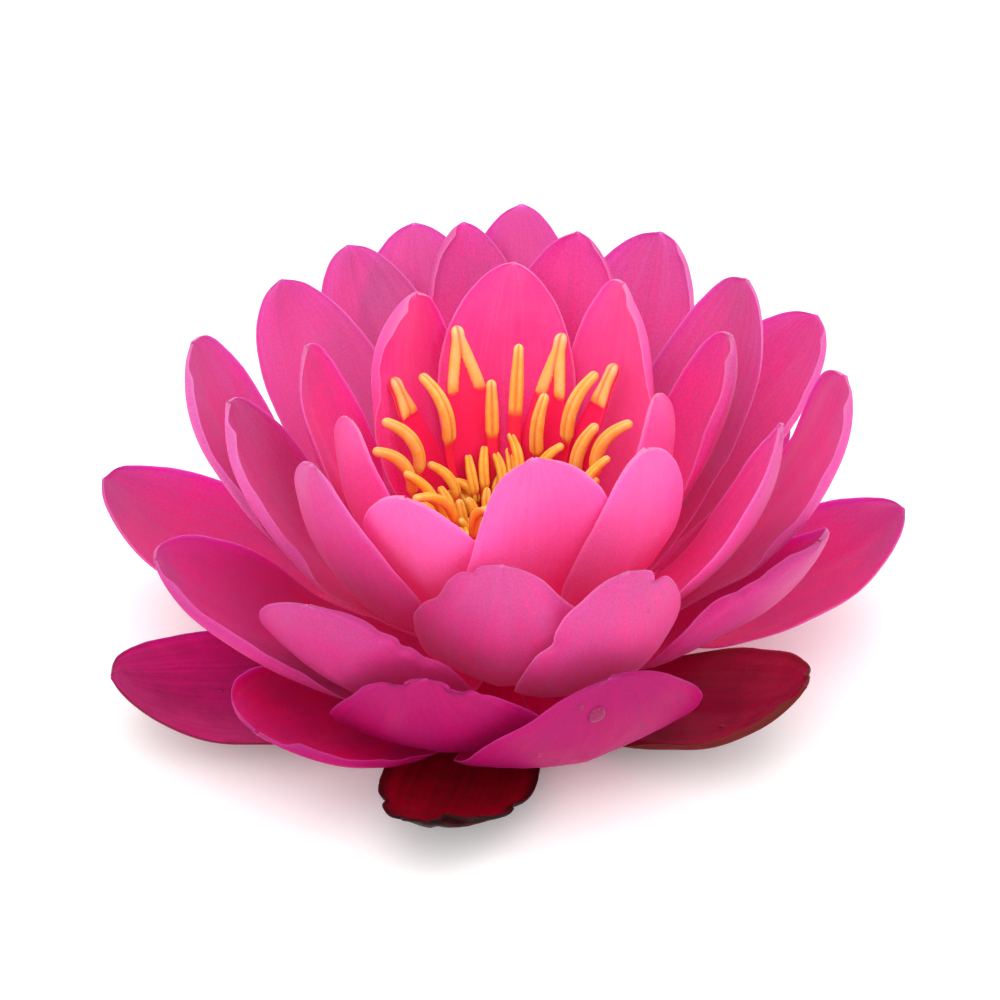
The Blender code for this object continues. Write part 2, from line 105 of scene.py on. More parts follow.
def readLoops(piece, size):
    points, corners = readPoints(piece)
    links = [set() for p in points]
    for corner in corners:
        for i in corner:
            links[i].update(corner)
    near = flowerAxis + np.array([0, 0, footHeight])
    centre = points[np.linalg.norm(points - near, axis=1).argmin()]
    for step in range(3):
        foot = np.argsort(np.linalg.norm(points - centre, axis=1))[:size]
        centre = points[foot].mean(0)
    level = np.full(len(points), -1)
    level[foot] = 0
    front, depth = set(foot), 0
    while front:
        depth += 1
        front = {j for i in front for j in links[i] if level[j] < 0}
        level[list(front)] = depth
    loops = []
    for row in range(depth):
        beside = {int(i): [] for i in np.flatnonzero(level == row)}
        for corner in corners:
            same = [int(i) for i in corner if level[i] == row]
            if len(same) == 2:
                beside[same[0]].append(same[1])
                beside[same[1]].append(same[0])
        loop = [min(beside)]
        while len(loop) < size:
            onward = [i for i in beside[loop[-1]] if len(loop) == 1 or i not in loop[-2:] and i != loop[0]]
            loop.append(onward[0])
        loops.append(points[loop])
    return loops


# Turns each loop so that it starts at the clockwise edge and runs over the inner face first.
def turnLoops(loops, sharp):
    half = len(loops[0]) // 2
    turned = []
    for loop in loops:
        if sharp:
            before, after = np.roll(loop, 1, axis=0) - loop, np.roll(loop, -1, axis=0) - loop
            score = (unit(before) * unit(after)).sum(1)
        else:
            score = np.linalg.norm(loop - np.roll(loop, -half, axis=0), axis=1)
        score = score + np.roll(score, -half)
        loop = np.roll(loop, -int(score[:half].argmax()), axis=0)
        across = loop[half] - loop[0]
        through = loop[1:half].mean(0) - loop[half + 1:].mean(0)
        if turned:
            last = turned[-1]
            sideWanted = last[half] - last[0]
            innerWanted = last[1:half].mean(0) - last[half + 1:].mean(0)
        else:
            out = loop.mean(0) - flowerAxis
            sideWanted = np.array([-out[1], out[0], 0.0])
            innerWanted = flowerAxis + np.array([0, 0, aboveFlower]) - loop.mean(0)
        if across @ sideWanted < 0:
            loop = np.roll(loop, -half, axis=0)
            through = -through
        if through @ innerWanted < 0:
            loop = np.roll(loop[::-1], 1, axis=0)
        turned.append(loop)
    return turned


# Makes an object from a mesh that carries masks for its material. It takes the place of its nodes.
def addPiece(name, verts, faces, masks, material, slot, nodes=()):
    mesh = bpy.data.meshes.new(name)
    mesh.from_pydata([tuple(map(float, p)) for p in verts], [], [tuple(map(int, f)) for f in faces])
    mesh.validate()
    for key, values in masks.items():
        attribute = mesh.attributes.new(key, "FLOAT", "POINT")
        attribute.data.foreach_set("value", np.asarray(values, np.float32))
    mesh.polygons.foreach_set("use_smooth", [True] * len(mesh.polygons))
    mesh.materials.append(material)
    piece = bpy.data.objects.new(name, mesh)
    scene.collection.objects.link(piece)
    if nodes:
        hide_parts(*nodes)
    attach(piece, "root")
    return piece


# Puts one more closed form into the lists of a piece.
def join(verts, faces, masks, moreVerts, moreFaces, moreMasks):
    faces += [tuple(i + len(verts) for i in face) for face in moreFaces]
    verts += moreVerts
    for key, values in moreMasks.items():
        masks[key] += values


# Faces between rows of points that each run once round a turned form.
def turnedFaces(rows, n, start=0):
    faces = []
    for i in range(start, start + (rows - 1) * n, n):
        faces += [(i + k, i + (k + 1) % n, i + n + (k + 1) % n, i + n + k) for k in range(n)]
    return faces


# The same with both ends closed.
def closedTurn(rows, n, start=0):
    foot = tuple(start + k for k in reversed(range(n)))
    top = tuple(start + (rows - 1) * n + k for k in range(n))
    return [foot, *turnedFaces(rows, n, start), top]


# Faces of a stack of closed rings, with both ends closed by strips across the ring.
def ringFaces(rows, ring):
    faces = []
    for a in range(0, (rows - 1) * ring, ring):
        for j in range(ring):
            k = (j + 1) % ring
            faces.append((a + j, a + ring + j, a + ring + k, a + k))
    for base, forward in ((0, True), ((rows - 1) * ring, False)):
        for j in range(ring // 2):
            loop = [base + j, base + j + 1, base + (ring - j - 1) % ring, base + (ring - j) % ring]
            loop = list(dict.fromkeys(loop))
            faces.append(tuple(loop if forward else loop[::-1]))
    return faces


# Where the frame's petals have their loops of points, and the points of a loop.
rowsAlong = np.array([0.0, 0.1, 0.22, 0.35, 0.48, 0.61, 0.74, 0.86, 0.95, 1.0])
columnsAcross = np.array([-1.0, -0.68, -0.34, 0.0, 0.34, 0.68, 1.0])
petalLoopSize = 12

# Per whorl: thickness in the middle and by the margin, waviness of the margin, how far the margin
# turns in, lengthwise ribs, and the bend of the tip. All in millimetres.
whorlShapes = {
    "inner": {"thick": 0.8, "edge": 0.42, "wave": 0.16, "curl": 0.5, "ribs": 0.05, "tipBend": 0.5},
    "second": {"thick": 0.82, "edge": 0.42, "wave": 0.2, "curl": 0.45, "ribs": 0.06, "tipBend": 0.5},
    "cup": {"thick": 0.85, "edge": 0.42, "wave": 0.22, "curl": 0.5, "ribs": 0.06, "tipBend": 0.6},
    "spreading": {"thick": 0.9, "edge": 0.45, "wave": 0.28, "curl": 0.55, "ribs": 0.07, "tipBend": 0.5},
    "low": {"thick": 0.9, "edge": 0.45, "wave": 0.32, "curl": 0.55, "ribs": 0.07, "tipBend": 0.4},
    "sepal": {"thick": 1.15, "edge": 0.6, "wave": 0.3, "curl": 0.35, "ribs": 0.1, "tipBend": 0.9},
}

# What single petals have of their own. folds: margin (-1 clockwise, 1 anticlockwise), from, to, depth.
# notches: margin, place along, width, depth. dents: place along, place across, size, depth.
petalQuirks = {
    "petal_inner_2": {"folds": [(-1, 0.62, 0.97, 0.9)]},
    "petal_inner_3": {"folds": [(1, 0.55, 0.97, 1.3)]},
    "petal_inner_4": {"folds": [(1, 0.6, 0.95, 0.8)]},
    "petal_inner_6": {"dents": [(0.9, -0.2, 0.1, 0.35)]},
    "petal_second_1": {"folds": [(-1, 0.66, 0.96, 0.7)]},
    "petal_second_2": {"folds": [(1, 0.6, 0.97, 1.2)]},
    "petal_second_4": {"folds": [(-1, 0.55, 0.96, 1.0)]},
    "petal_second_7": {
        "notches": [(-1, 0.82, 0.07, 1.3), (-1, 0.965, 0.012, 0.9), (1, 0.9, 0.06, 0.9),
                    (-1, 0.62, 0.07, -0.6)],
        "dents": [(0.93, -0.1, 0.06, -0.7), (0.74, 0.3, 0.1, 0.6), (0.8, -0.35, 0.08, 0.5)],
    },
    "petal_second_8": {
        "notches": [(1, 0.955, 0.013, 1.7), (-1, 0.8, 0.035, 1.3), (-1, 0.9, 0.03, -0.6)],
        "dents": [(0.9, 0.25, 0.09, -0.5), (0.75, -0.4, 0.09, 0.5)],
    },
    "petal_cup_6": {"folds": [(-1, 0.6, 0.96, 0.9)]},
    "petal_cup_7": {"folds": [(-1, 0.55, 0.96, 1.0)]},
    "petal_cup_8": {"folds": [(-1, 0.5, 0.96, 1.2)], "dents": [(0.7, -0.3, 0.12, 0.5)]},
    "petal_cup_9": {"folds": [(1, 0.5, 0.95, 1.1)]},
    "petal_cup_10": {"folds": [(1, 0.5, 0.95, 1.0)]},
    "petal_spreading_1": {
        "folds": [(1, 0.6, 0.97, 1.4)],
        "notches": [(1, 0.8, 0.02, 0.9), (1, 0.88, 0.02, 0.7), (1, 0.7, 0.03, 0.6)],
    },
    "petal_spreading_2": {
        "folds": [(-1, 0.62, 0.97, 1.2)],
        "notches": [(-1, 0.83, 0.018, 0.9), (-1, 0.9, 0.015, 0.8)],
    },
    "petal_spreading_3": {"folds": [(1, 0.5, 0.96, 1.0)]},
    "petal_low_1": {
        "notches": [(-1, 0.982, 0.008, 2.0), (-1, 0.94, 0.03, -1.0), (1, 0.974, 0.011, 3.0),
                    (1, 0.94, 0.012, 0.5)],
        "dents": [(0.85, -0.3, 0.1, -0.7), (0.82, 0.2, 0.1, -0.5), (0.9, 0.5, 0.04, -0.5)],
    },
    "petal_low_2": {"notches": [(-1, 0.9, 0.05, 0.7)]},
    "petal_low_3": {"folds": [(1, 0.45, 0.95, 1.0)], "notches": [(1, 0.6, 0.04, 0.4)]},
    "sepal_2": {
        "notches": [(-1, 0.8, 0.03, 1.0), (1, 0.95, 0.05, 5.0), (1, 0.86, 0.05, 3.0), (-1, 0.93, 0.016, 1.6),
                    (1, 0.72, 0.03, 1.4)],
        "dents": [(0.9, 0.1, 0.05, 0.8), (0.8, -0.4, 0.06, 0.6)],
    },
    "sepal_3": {"folds": [(-1, 0.4, 0.96, 0.8)], "notches": [(1, 0.96, 0.015, 1.3)]},
}

# What all petals share. Sizes in millimetres, places as shares of the length or of the half width.
petalDetail = {
    "rows": 64, "halfColumns": 20, "lastRow": 0.985, "marginCrowding": 1.7,
    "waveTurns": (1.3, 2.6, 4.4), "swell": 0.22, "swellTurns": (1.7, 2.2),
    "midrib": 0.22, "midribWidth": 0.1, "ribPairs": 4, "ribSpacing": 0.19, "ribWidth": 0.06,
    "foldTurns": (5, 13), "foldRoughness": (0.1, 0.04), "foldFrom": 0.86, "foldSlide": 0.75,
    "curlFrom": 0.88, "tipBendFrom": 0.84, "notchLift": 0.25, "dentBreadth": 2.2,
    "fringe": 0.07, "fringeTurns": (9, 17, 31),
    "thinAt": (0, 0.08, 0.5, 0.88, 1), "thinTo": (0.7, 1.0, 0.95, 0.7, 0.55), "edgeRoundness": 26,
    "aboveFloor": 0.45, "leastThickness": 0.2, "tipRim": 1.2,
}


def wave(x, turns, shift):
    return np.sin(2 * math.pi * (turns * x + shift))


def gridNormals(grid):
    normal = unit(np.cross(np.gradient(grid, axis=0), np.gradient(grid, axis=1)))
    normal[-1] = normal[-2]
    return normal


# The middle surface of a petal as a fine grid. Its last row is the point of the tip.
def fineGrid(loops, along, across):
    half = petalLoopSize // 2
    coarse = np.array([[(loop[j] + loop[-j]) / 2 if 0 < j < half else loop[j] for j in range(half + 1)]
                       for loop in loops])
    coarse[-1] = coarse[-1, half // 2]
    grid = throughKnots(1 - np.sqrt(1 - rowsAlong), coarse, 1 - np.sqrt(1 - along))
    return throughKnots(columnsAcross, grid.swapaxes(0, 1), across).swapaxes(0, 1)


# The direction from each point to the middle of the petal, square to the nearer margin.
def towardsMiddle(grid, normal, along, across):
    sideways = unit(np.gradient(grid, axis=1)) * np.sign(across)[None, :, None]
    inward = -sideways
    middle = grid[:, len(across) // 2]
    for edge, columns in ((0, across < 0), (-1, across > 0)):
        square = unit(np.cross(normal[:, edge], np.gradient(grid[:, edge], axis=0)))
        facing = np.sign((square * (middle - grid[:, edge])).sum(1))[:, None]
        square = unit(square * facing - sideways[:, edge] * (1 - smoothStep(along, 0.3, 0.6))[:, None])
        inward[:, columns] = square[:, None]
    return inward


# How far each point is pushed along the normal and slid inward, in millimetres.
def petalRelief(shape, quirks, u, v, rng):
    look = petalDetail
    out = np.abs(v)
    push = np.zeros((u.size, v.size))
    slide = np.zeros((u.size, v.size))
    for side in (-1, 1):
        here = out ** 3 * smoothStep(u, 0.12, 0.45) * (np.sign(v) == side)
        for turns in look["waveTurns"]:
            push += here * shape["wave"] * wave(u, turns, rng.uniform()) / turns ** 0.5
    acrossTurns, alongTurns = look["swellTurns"]
    swell = np.sin(math.pi * (acrossTurns * v + rng.uniform(0, 2)))
    swell = swell * np.sin(math.pi * (alongTurns * u + rng.uniform(0, 2)))
    push += look["swell"] * swell * smoothStep(u, 0.1, 0.4)
    fade = smoothStep(u, 0.05, 0.2) * (1 - smoothStep(u, 0.75, 1.0))
    push -= look["midrib"] * bump(v, 0, look["midribWidth"]) * fade
    for k in range(1, look["ribPairs"] + 1):
        place, width = look["ribSpacing"] * k, look["ribWidth"]
        push += shape["ribs"] * (bump(v, place, width) + bump(v, -place, width)) * fade
    for side, start, end, depth in quirks.get("folds", ()):
        within = smoothStep(u, start, start + 0.15) * (1 - smoothStep(u, end, end + 0.03))
        rough = 1
        for turns, strength in zip(look["foldTurns"], look["foldRoughness"]):
            rough = rough + strength * wave(u, turns, rng.uniform())
        fold = depth * within * rough * (np.sign(v) == side)
        turn = smoothStep(out, look["foldFrom"], 1.0)
        push += fold * turn
        slide += fold * look["foldSlide"] * turn ** 2
    push += shape["curl"] * smoothStep(u, 0.35, 0.7) * smoothStep(out, look["curlFrom"], 1.0) ** 2
    push += shape["tipBend"] * smoothStep(u, look["tipBendFrom"], 1.0) ** 2
    for place, centre, size, depth in quirks.get("dents", ()):
        push += depth * bump(u, place, size) * bump(v, centre, size * look["dentBreadth"])
    for side, place, width, depth in quirks.get("notches", ()):
        near = bump(u, place, width) * (np.sign(v) == side)
        slide += depth * near * smoothStep(out, 0.45, 1.0)
        push += look["notchLift"] * depth * near * smoothStep(out, 0.6, 1.0)
    fringe = sum(wave(u, turns, rng.uniform()) / turns ** 0.5 for turns in look["fringeTurns"])
    slide += look["fringe"] * fringe * smoothStep(out, 0.7, 1.0) * smoothStep(u, 0.3, 0.6)
    return push, slide


# Inner and outer face of a petal as grids, and the distance from its margin in millimetres.
def shapePetal(piece, shape, quirks, rng):
    look = petalDetail
    along = 1 - (1 - np.linspace(0, look["lastRow"], look["rows"] + 1)) ** 2
    half = 1 - (1 - np.linspace(0, 1, look["halfColumns"] + 1)) ** look["marginCrowding"]
    across = np.concatenate([-half[:0:-1], half])
    u, v = along[:, None], across[None, :]
    grid = fineGrid(turnLoops(readLoops(piece, petalLoopSize), True), along, across)
    normal = gridNormals(grid)
    push, slide = petalRelief(shape, quirks, u, v, rng)
    inward = towardsMiddle(grid, normal, along, across)
    grid = grid + (normal * push[..., None] + inward * slide[..., None]) * mm
    normal = gridNormals(grid)
    thin = np.interp(along, look["thinAt"], look["thinTo"])[:, None]
    closing = np.sqrt(np.maximum(1 - np.abs(v) ** look["edgeRoundness"], 0))
    closing = closing * np.sqrt(np.maximum(1 - smoothStep(u, 0.975, 1.0) ** 2, 0.02))
    thick = (shape["edge"] + (shape["thick"] - shape["edge"]) * (1 - v ** 2)) * thin * closing * mm
    inner = grid + normal * thick[..., None] / 2
    outer = grid - normal * thick[..., None] / 2
    low = look["aboveFloor"] * mm
    inner[..., 2] = np.maximum(inner[..., 2], low + look["leastThickness"] * mm)
    outer[..., 2] = np.maximum(outer[..., 2], low)
    width = np.linalg.norm(np.diff(grid, axis=1), axis=2).sum(1)[:, None] / 2
    length = np.linalg.norm(np.diff(grid, axis=0), axis=2)[:, look["halfColumns"]].sum()
    rim = np.minimum((1 - np.abs(v)) * width, (1 - u) * length * look["tipRim"]) / mm
    return inner, outer, along, across, rim


petalFaces = {}  # the finished faces, which the drops of water sit on


def petalPiece(piece, whorl, material, tone, rng):
    inner, outer, along, across, rim = shapePetal(piece, whorlShapes[whorl], petalQuirks.get(piece, {}), rng)
    order = [*range(len(across)), *range(len(across) - 2, 0, -1)]
    verts, masks = [], {"along": [], "across": [], "inside": [], "rim": []}
    for i, u in enumerate(along):
        verts += [*inner[i], *outer[i, -2:0:-1]]
        masks["along"] += [u] * len(order)
        masks["across"] += list(across[order])
        masks["inside"] += [1.0] * len(across) + [0.0] * (len(order) - len(across))
        masks["rim"] += list(rim[i][order])
    masks["tone"] = [tone] * len(verts)
    masks["seed"] = [float(rng.uniform(0, 50))] * len(verts)
    petalFaces[piece] = {"inner": inner, "outer": outer, "along": along, "across": across}
    faces = ringFaces(len(along), len(order))
    addPiece(piece, verts, faces, masks, material, petalSlots[whorl], (piece,))


def node(tree, kind, **settings):
    made = tree.nodes.new(kind)
    for key, value in settings.items():
        setattr(made, key, value)
    return made


def feed(tree, socket, value):
    if isinstance(value, bpy.types.NodeSocket):
        tree.links.new(value, socket)
    else:
        socket.default_value = value


def maths(tree, operation, first, second=0.0):
    made = node(tree, "ShaderNodeMath", operation=operation)
    feed(tree, made.inputs[0], first)
    feed(tree, made.inputs[1], second)
    return made.outputs[0]


def mixed(tree, share, first, second, blend="MIX"):
    made = node(tree, "ShaderNodeMix", data_type="RGBA", blend_type=blend, clamp_factor=True)
    feed(tree, made.inputs["Factor"], share)
    feed(tree, made.inputs[6], first)
    feed(tree, made.inputs[7], second)
    return made.outputs[2]


def ranged(tree, value, low, high, toLow=0.0, toHigh=1.0):
    made = node(tree, "ShaderNodeMapRange", interpolation_type="SMOOTHSTEP", clamp=True)
    feed(tree, made.inputs["Value"], value)
    for key, number in (("From Min", low), ("From Max", high), ("To Min", toLow), ("To Max", toHigh)):
        feed(tree, made.inputs[key], number)
    return made.outputs["Result"]


def mask(tree, name):
    return node(tree, "ShaderNodeAttribute", attribute_type="GEOMETRY", attribute_name=name).outputs["Fac"]


def combined(tree, x, y, z=0.0):
    made = node(tree, "ShaderNodeCombineXYZ")
    for k, value in enumerate((x, y, z)):
        feed(tree, made.inputs[k], value)
    return made.outputs[0]


def noise(tree, place, scale, detail=2.0, rough=0.5):
    made = node(tree, "ShaderNodeTexNoise", noise_dimensions="3D")
    feed(tree, made.inputs["Vector"], place)
    feed(tree, made.inputs["Scale"], scale)
    feed(tree, made.inputs["Detail"], detail)
    feed(tree, made.inputs["Roughness"], rough)
    return made.outputs["Fac"]


# A shader node group, with the sockets that it is given and the sockets of its result.
def newGroup(name, inputs, outputs):
    tree = bpy.data.node_groups.new(name, "ShaderNodeTree")
    for label, kind, value in inputs:
        socket = tree.interface.new_socket(name=label, in_out="INPUT", socket_type=kind)
        if value is not None:
            socket.default_value = value
    for label, kind in outputs:
        tree.interface.new_socket(name=label, in_out="OUTPUT", socket_type=kind)
    return tree, node(tree, "NodeGroupInput").outputs, node(tree, "NodeGroupOutput").inputs


def useGroup(tree, group, **values):
    made = node(tree, "ShaderNodeGroup")
    made.node_tree = group
    for key, value in values.items():
        feed(tree, made.inputs[key.replace("_", " ")], value)
    return made


def srgb(r, g, b):
    linear = [((c / 255 + 0.055) / 1.055) ** 2.4 if c > 10 else c / 255 / 12.92 for c in (r, g, b)]
    return (*linear, 1.0)


floatSocket, colourSocket = "NodeSocketFloat", "NodeSocketColor"

# Colour that runs from the base over the middle to the tip of a petal or stamen.
lengthwiseFade, given, result = newGroup(
    "lengthwise fade",
    [("Along", floatSocket, 0.5), ("Base Colour", colourSocket, None), ("Middle Colour", colourSocket, None),
     ("Tip Colour", colourSocket, None), ("Base Reach", floatSocket, 0.4), ("Tip Start", floatSocket, 0.7),
     ("Unevenness", floatSocket, 0.0)],
    [("Colour", colourSocket)])
shifted = maths(lengthwiseFade, "ADD", given["Along"], given["Unevenness"])
lower = ranged(lengthwiseFade, shifted, 0.04, given["Base Reach"])
upper = ranged(lengthwiseFade, shifted, given["Tip Start"], 1.02)
fading = mixed(lengthwiseFade, lower, given["Base Colour"], given["Middle Colour"])
feed(lengthwiseFade, result["Colour"], mixed(lengthwiseFade, upper, fading, given["Tip Colour"]))

# Fine veins that run from base to tip and close up towards both.
petalVeins, given, result = newGroup(
    "petal veins",
    [("Along", floatSocket, 0.5), ("Across", floatSocket, 0.0), ("Seed", floatSocket, 0.0),
     ("Count", floatSocket, 14.0)],
    [("Vein", floatSocket), ("Streak", floatSocket)])
onPetal = combined(petalVeins, given["Across"], given["Along"], given["Seed"])
bent = maths(petalVeins, "MULTIPLY", noise(petalVeins, onPetal, 3.0), 0.16)
spot = maths(petalVeins, "MULTIPLY", maths(petalVeins, "ADD", given["Across"], bent), given["Count"])
flow = combined(petalVeins, spot, maths(petalVeins, "MULTIPLY", given["Along"], 1.6), given["Seed"])
fine = noise(petalVeins, flow, 1.0, 3.0, 0.6)
feed(petalVeins, result["Streak"], fine)
line = maths(petalVeins, "ABSOLUTE", maths(petalVeins, "SUBTRACT", fine, 0.5))
feed(petalVeins, result["Vein"], ranged(petalVeins, line, 0.0, 0.09, 1.0, 0.0))

# Soft patches and the fine grain of living skin, from the place on the object.
skinMottle, given, result = newGroup(
    "skin mottle",
    [("Patch Size", floatSocket, 6.0), ("Grain Size", floatSocket, 0.3), ("Seed", floatSocket, 0.0)],
    [("Patches", floatSocket), ("Grain", floatSocket), ("Specks", floatSocket)])
where = node(skinMottle, "ShaderNodeTexCoord").outputs["Object"]
away = node(skinMottle, "ShaderNodeVectorMath", operation="ADD")
feed(skinMottle, away.inputs[0], where)
feed(skinMottle, away.inputs[1], combined(skinMottle, *[given["Seed"]] * 3))
perPatch = maths(skinMottle, "DIVIDE", 1000.0, given["Patch Size"])
perGrain = maths(skinMottle, "DIVIDE", 1000.0, given["Grain Size"])
feed(skinMottle, result["Patches"], noise(skinMottle, away.outputs[0], perPatch, 3.0, 0.55))
grain = noise(skinMottle, where, perGrain, 2.0, 0.6)
feed(skinMottle, result["Grain"], grain)
cells = node(skinMottle, "ShaderNodeTexVoronoi", feature="F1")
feed(skinMottle, cells.inputs["Vector"], where)
feed(skinMottle, cells.inputs["Scale"], maths(skinMottle, "MULTIPLY", perGrain, 0.8))
feed(skinMottle, result["Specks"], ranged(skinMottle, cells.outputs["Distance"], 0.1, 0.5, 1.0, 0.0))

# Pale or dark line along the margin, with an uneven edge. The pale line is a painted highlight where a thin
# petal edge catches the light; the dark line is a sepal's own margin.
rimHighlightAndMargin, given, result = newGroup(
    "rim highlight and margin",
    [("Rim", floatSocket, 5.0), ("Width", floatSocket, 0.8), ("Patches", floatSocket, 0.5),
     ("Colour", colourSocket, None), ("Rim Colour", colourSocket, None), ("Strength", floatSocket, 0.6)],
    [("Colour", colourSocket)])
uneven = maths(rimHighlightAndMargin, "MULTIPLY", given["Width"], maths(rimHighlightAndMargin, "ADD", given["Patches"], 0.5))
nearRim = ranged(rimHighlightAndMargin, given["Rim"], 0.0, uneven, 1.0, 0.0)
edge = maths(rimHighlightAndMargin, "MULTIPLY", nearRim, given["Strength"])
feed(rimHighlightAndMargin, result["Colour"], mixed(rimHighlightAndMargin, edge, given["Colour"], given["Rim Colour"]))
print("shader groups ready")


# Subsurface is how much light passes into the skin, radius how far each colour goes, times the depth.
def newMaterial(name, roughness, subsurface=0.0, radius=(1.0, 0.3, 0.4), depth=1.5 * mm):
    material = bpy.data.materials.new(name)
    material.use_nodes = True
    tree = material.node_tree
    shader = tree.nodes["Principled BSDF"]
    shader.inputs["Roughness"].default_value = roughness
    shader.inputs["Subsurface Weight"].default_value = subsurface
    shader.inputs["Subsurface Radius"].default_value = radius
    shader.inputs["Subsurface Scale"].default_value = depth
    return material, tree, shader


def raised(tree, shader, height, strength, distance):
    made = node(tree, "ShaderNodeBump")
    made.inputs["Strength"].default_value = strength
    made.inputs["Distance"].default_value = distance
    feed(tree, made.inputs["Height"], height)
    feed(tree, shader.inputs["Normal"], made.outputs["Normal"])


# Inner face and outer face: base, middle and tip. The sepals are darker, and the outermost is pinker. The dark
# sepal's colours are its own dark red and brown deepened with painted shade, for a sepal that lies in the
# flower's shadow.
# The rim is a line along the margin, its width in millimetres. On the petals it is pale, a painted highlight
# where the thin edge catches the light; on the sepals it is dark, from their own dark margin.
petalColours = {
    "inner": {
        "inside": [(246, 0, 112), (240, 54, 134), (226, 72, 144)],
        "outside": [(250, 20, 128), (240, 84, 156), (230, 92, 154)],
        "rim": (240, 140, 186), "rimWidth": 0.6, "rimStrength": 0.4, "sheen": 0.06, "gloss": 0.18,
    },
    "second": {
        "inside": [(244, 0, 108), (224, 54, 132), (196, 62, 136)],
        "outside": [(240, 10, 116), (198, 48, 120), (172, 68, 128)],
        "rim": (222, 124, 172), "rimWidth": 0.6, "rimStrength": 0.35, "sheen": 0.06, "gloss": 0.18,
    },
    "cup": {
        "inside": [(240, 0, 104), (200, 64, 132), (162, 62, 118)],
        "outside": [(236, 12, 114), (206, 82, 148), (190, 90, 150)],
        "rim": (214, 118, 170), "rimWidth": 0.6, "rimStrength": 0.35, "sheen": 0.06, "gloss": 0.18,
    },
    "spreading": {
        "inside": [(230, 0, 92), (188, 32, 110), (148, 52, 112)],
        "outside": [(224, 4, 100), (182, 40, 112), (164, 56, 118)],
        "rim": (196, 90, 146), "rimWidth": 0.7, "rimStrength": 0.3, "sheen": 0.03, "gloss": 0.12,
    },
    "low": {
        "inside": [(212, 0, 72), (176, 8, 78), (156, 30, 96)],
        "outside": [(184, 0, 84), (150, 10, 84), (142, 22, 90)],
        "rim": (166, 68, 124), "rimWidth": 0.6, "rimStrength": 0.25, "sheen": 0.0, "gloss": 0.08,
    },
    "sepal": {
        "inside": [(142, 0, 38), (144, 6, 54), (132, 8, 50)],
        "outside": [(92, 6, 26), (96, 10, 30), (72, 18, 24)],
        "rim": (78, 30, 22), "rimWidth": 2.2, "rimStrength": 0.9, "sheen": 0.0, "gloss": 0.08,
    },
    "pinkSepal": {
        "inside": [(176, 0, 66), (174, 22, 106), (158, 34, 108)],
        "outside": [(112, 8, 40), (132, 22, 60), (92, 18, 34)],
        "rim": (100, 24, 44), "rimWidth": 0.9, "rimStrength": 0.8, "sheen": 0.0, "gloss": 0.1,
    },
    # Painted shade: this sepal lies in the shadow of the flower, so its own dark red and brown are painted
    # darker still.
    "darkSepalInShade": {
        "inside": [(110, 0, 14), (132, 0, 24), (112, 2, 20)],
        "outside": [(58, 6, 14), (48, 10, 14), (28, 12, 12)],
        "rim": (24, 12, 12), "rimWidth": 3.0, "rimStrength": 0.92, "sheen": 0.0, "gloss": 0.06,
    },
}
# What all petal skins share. Patches and grain in millimetres. The glow is painted light: the skin shines in
# its own colour, standing in for light that passes through the petal and lifting its shaded parts.
petalSkinLook = {
    "patches": 7.0, "grain": 0.32, "veins": 15.0, "unevenness": 0.22, "glow": 0.12,
    "baseReach": {"inside": 0.68, "outside": 0.72}, "tipStart": {"inside": 0.72, "outside": 0.74},
    "streaks": 0.28, "darkVeins": 0.12, "palePatches": 0.24, "speckles": (0.86, 1.07),
    "roughness": (0.46, 0.6), "sheenRoughness": 0.5, "relief": 0.35, "reliefHeight": 0.12 * mm,
    "throughLight": 0.5, "throughColour": (1.0, 0.14, 0.6), "throughDepth": 4 * mm,
}
petalExceptions = {"sepal_1": "pinkSepal", "sepal_2": "darkSepalInShade"}
petalSlots = {
    "inner": "petal_inner", "second": "petal_second", "cup": "petal_cup", "spreading": "petal_spreading",
    "low": "petal_low", "sepal": "sepal",
}


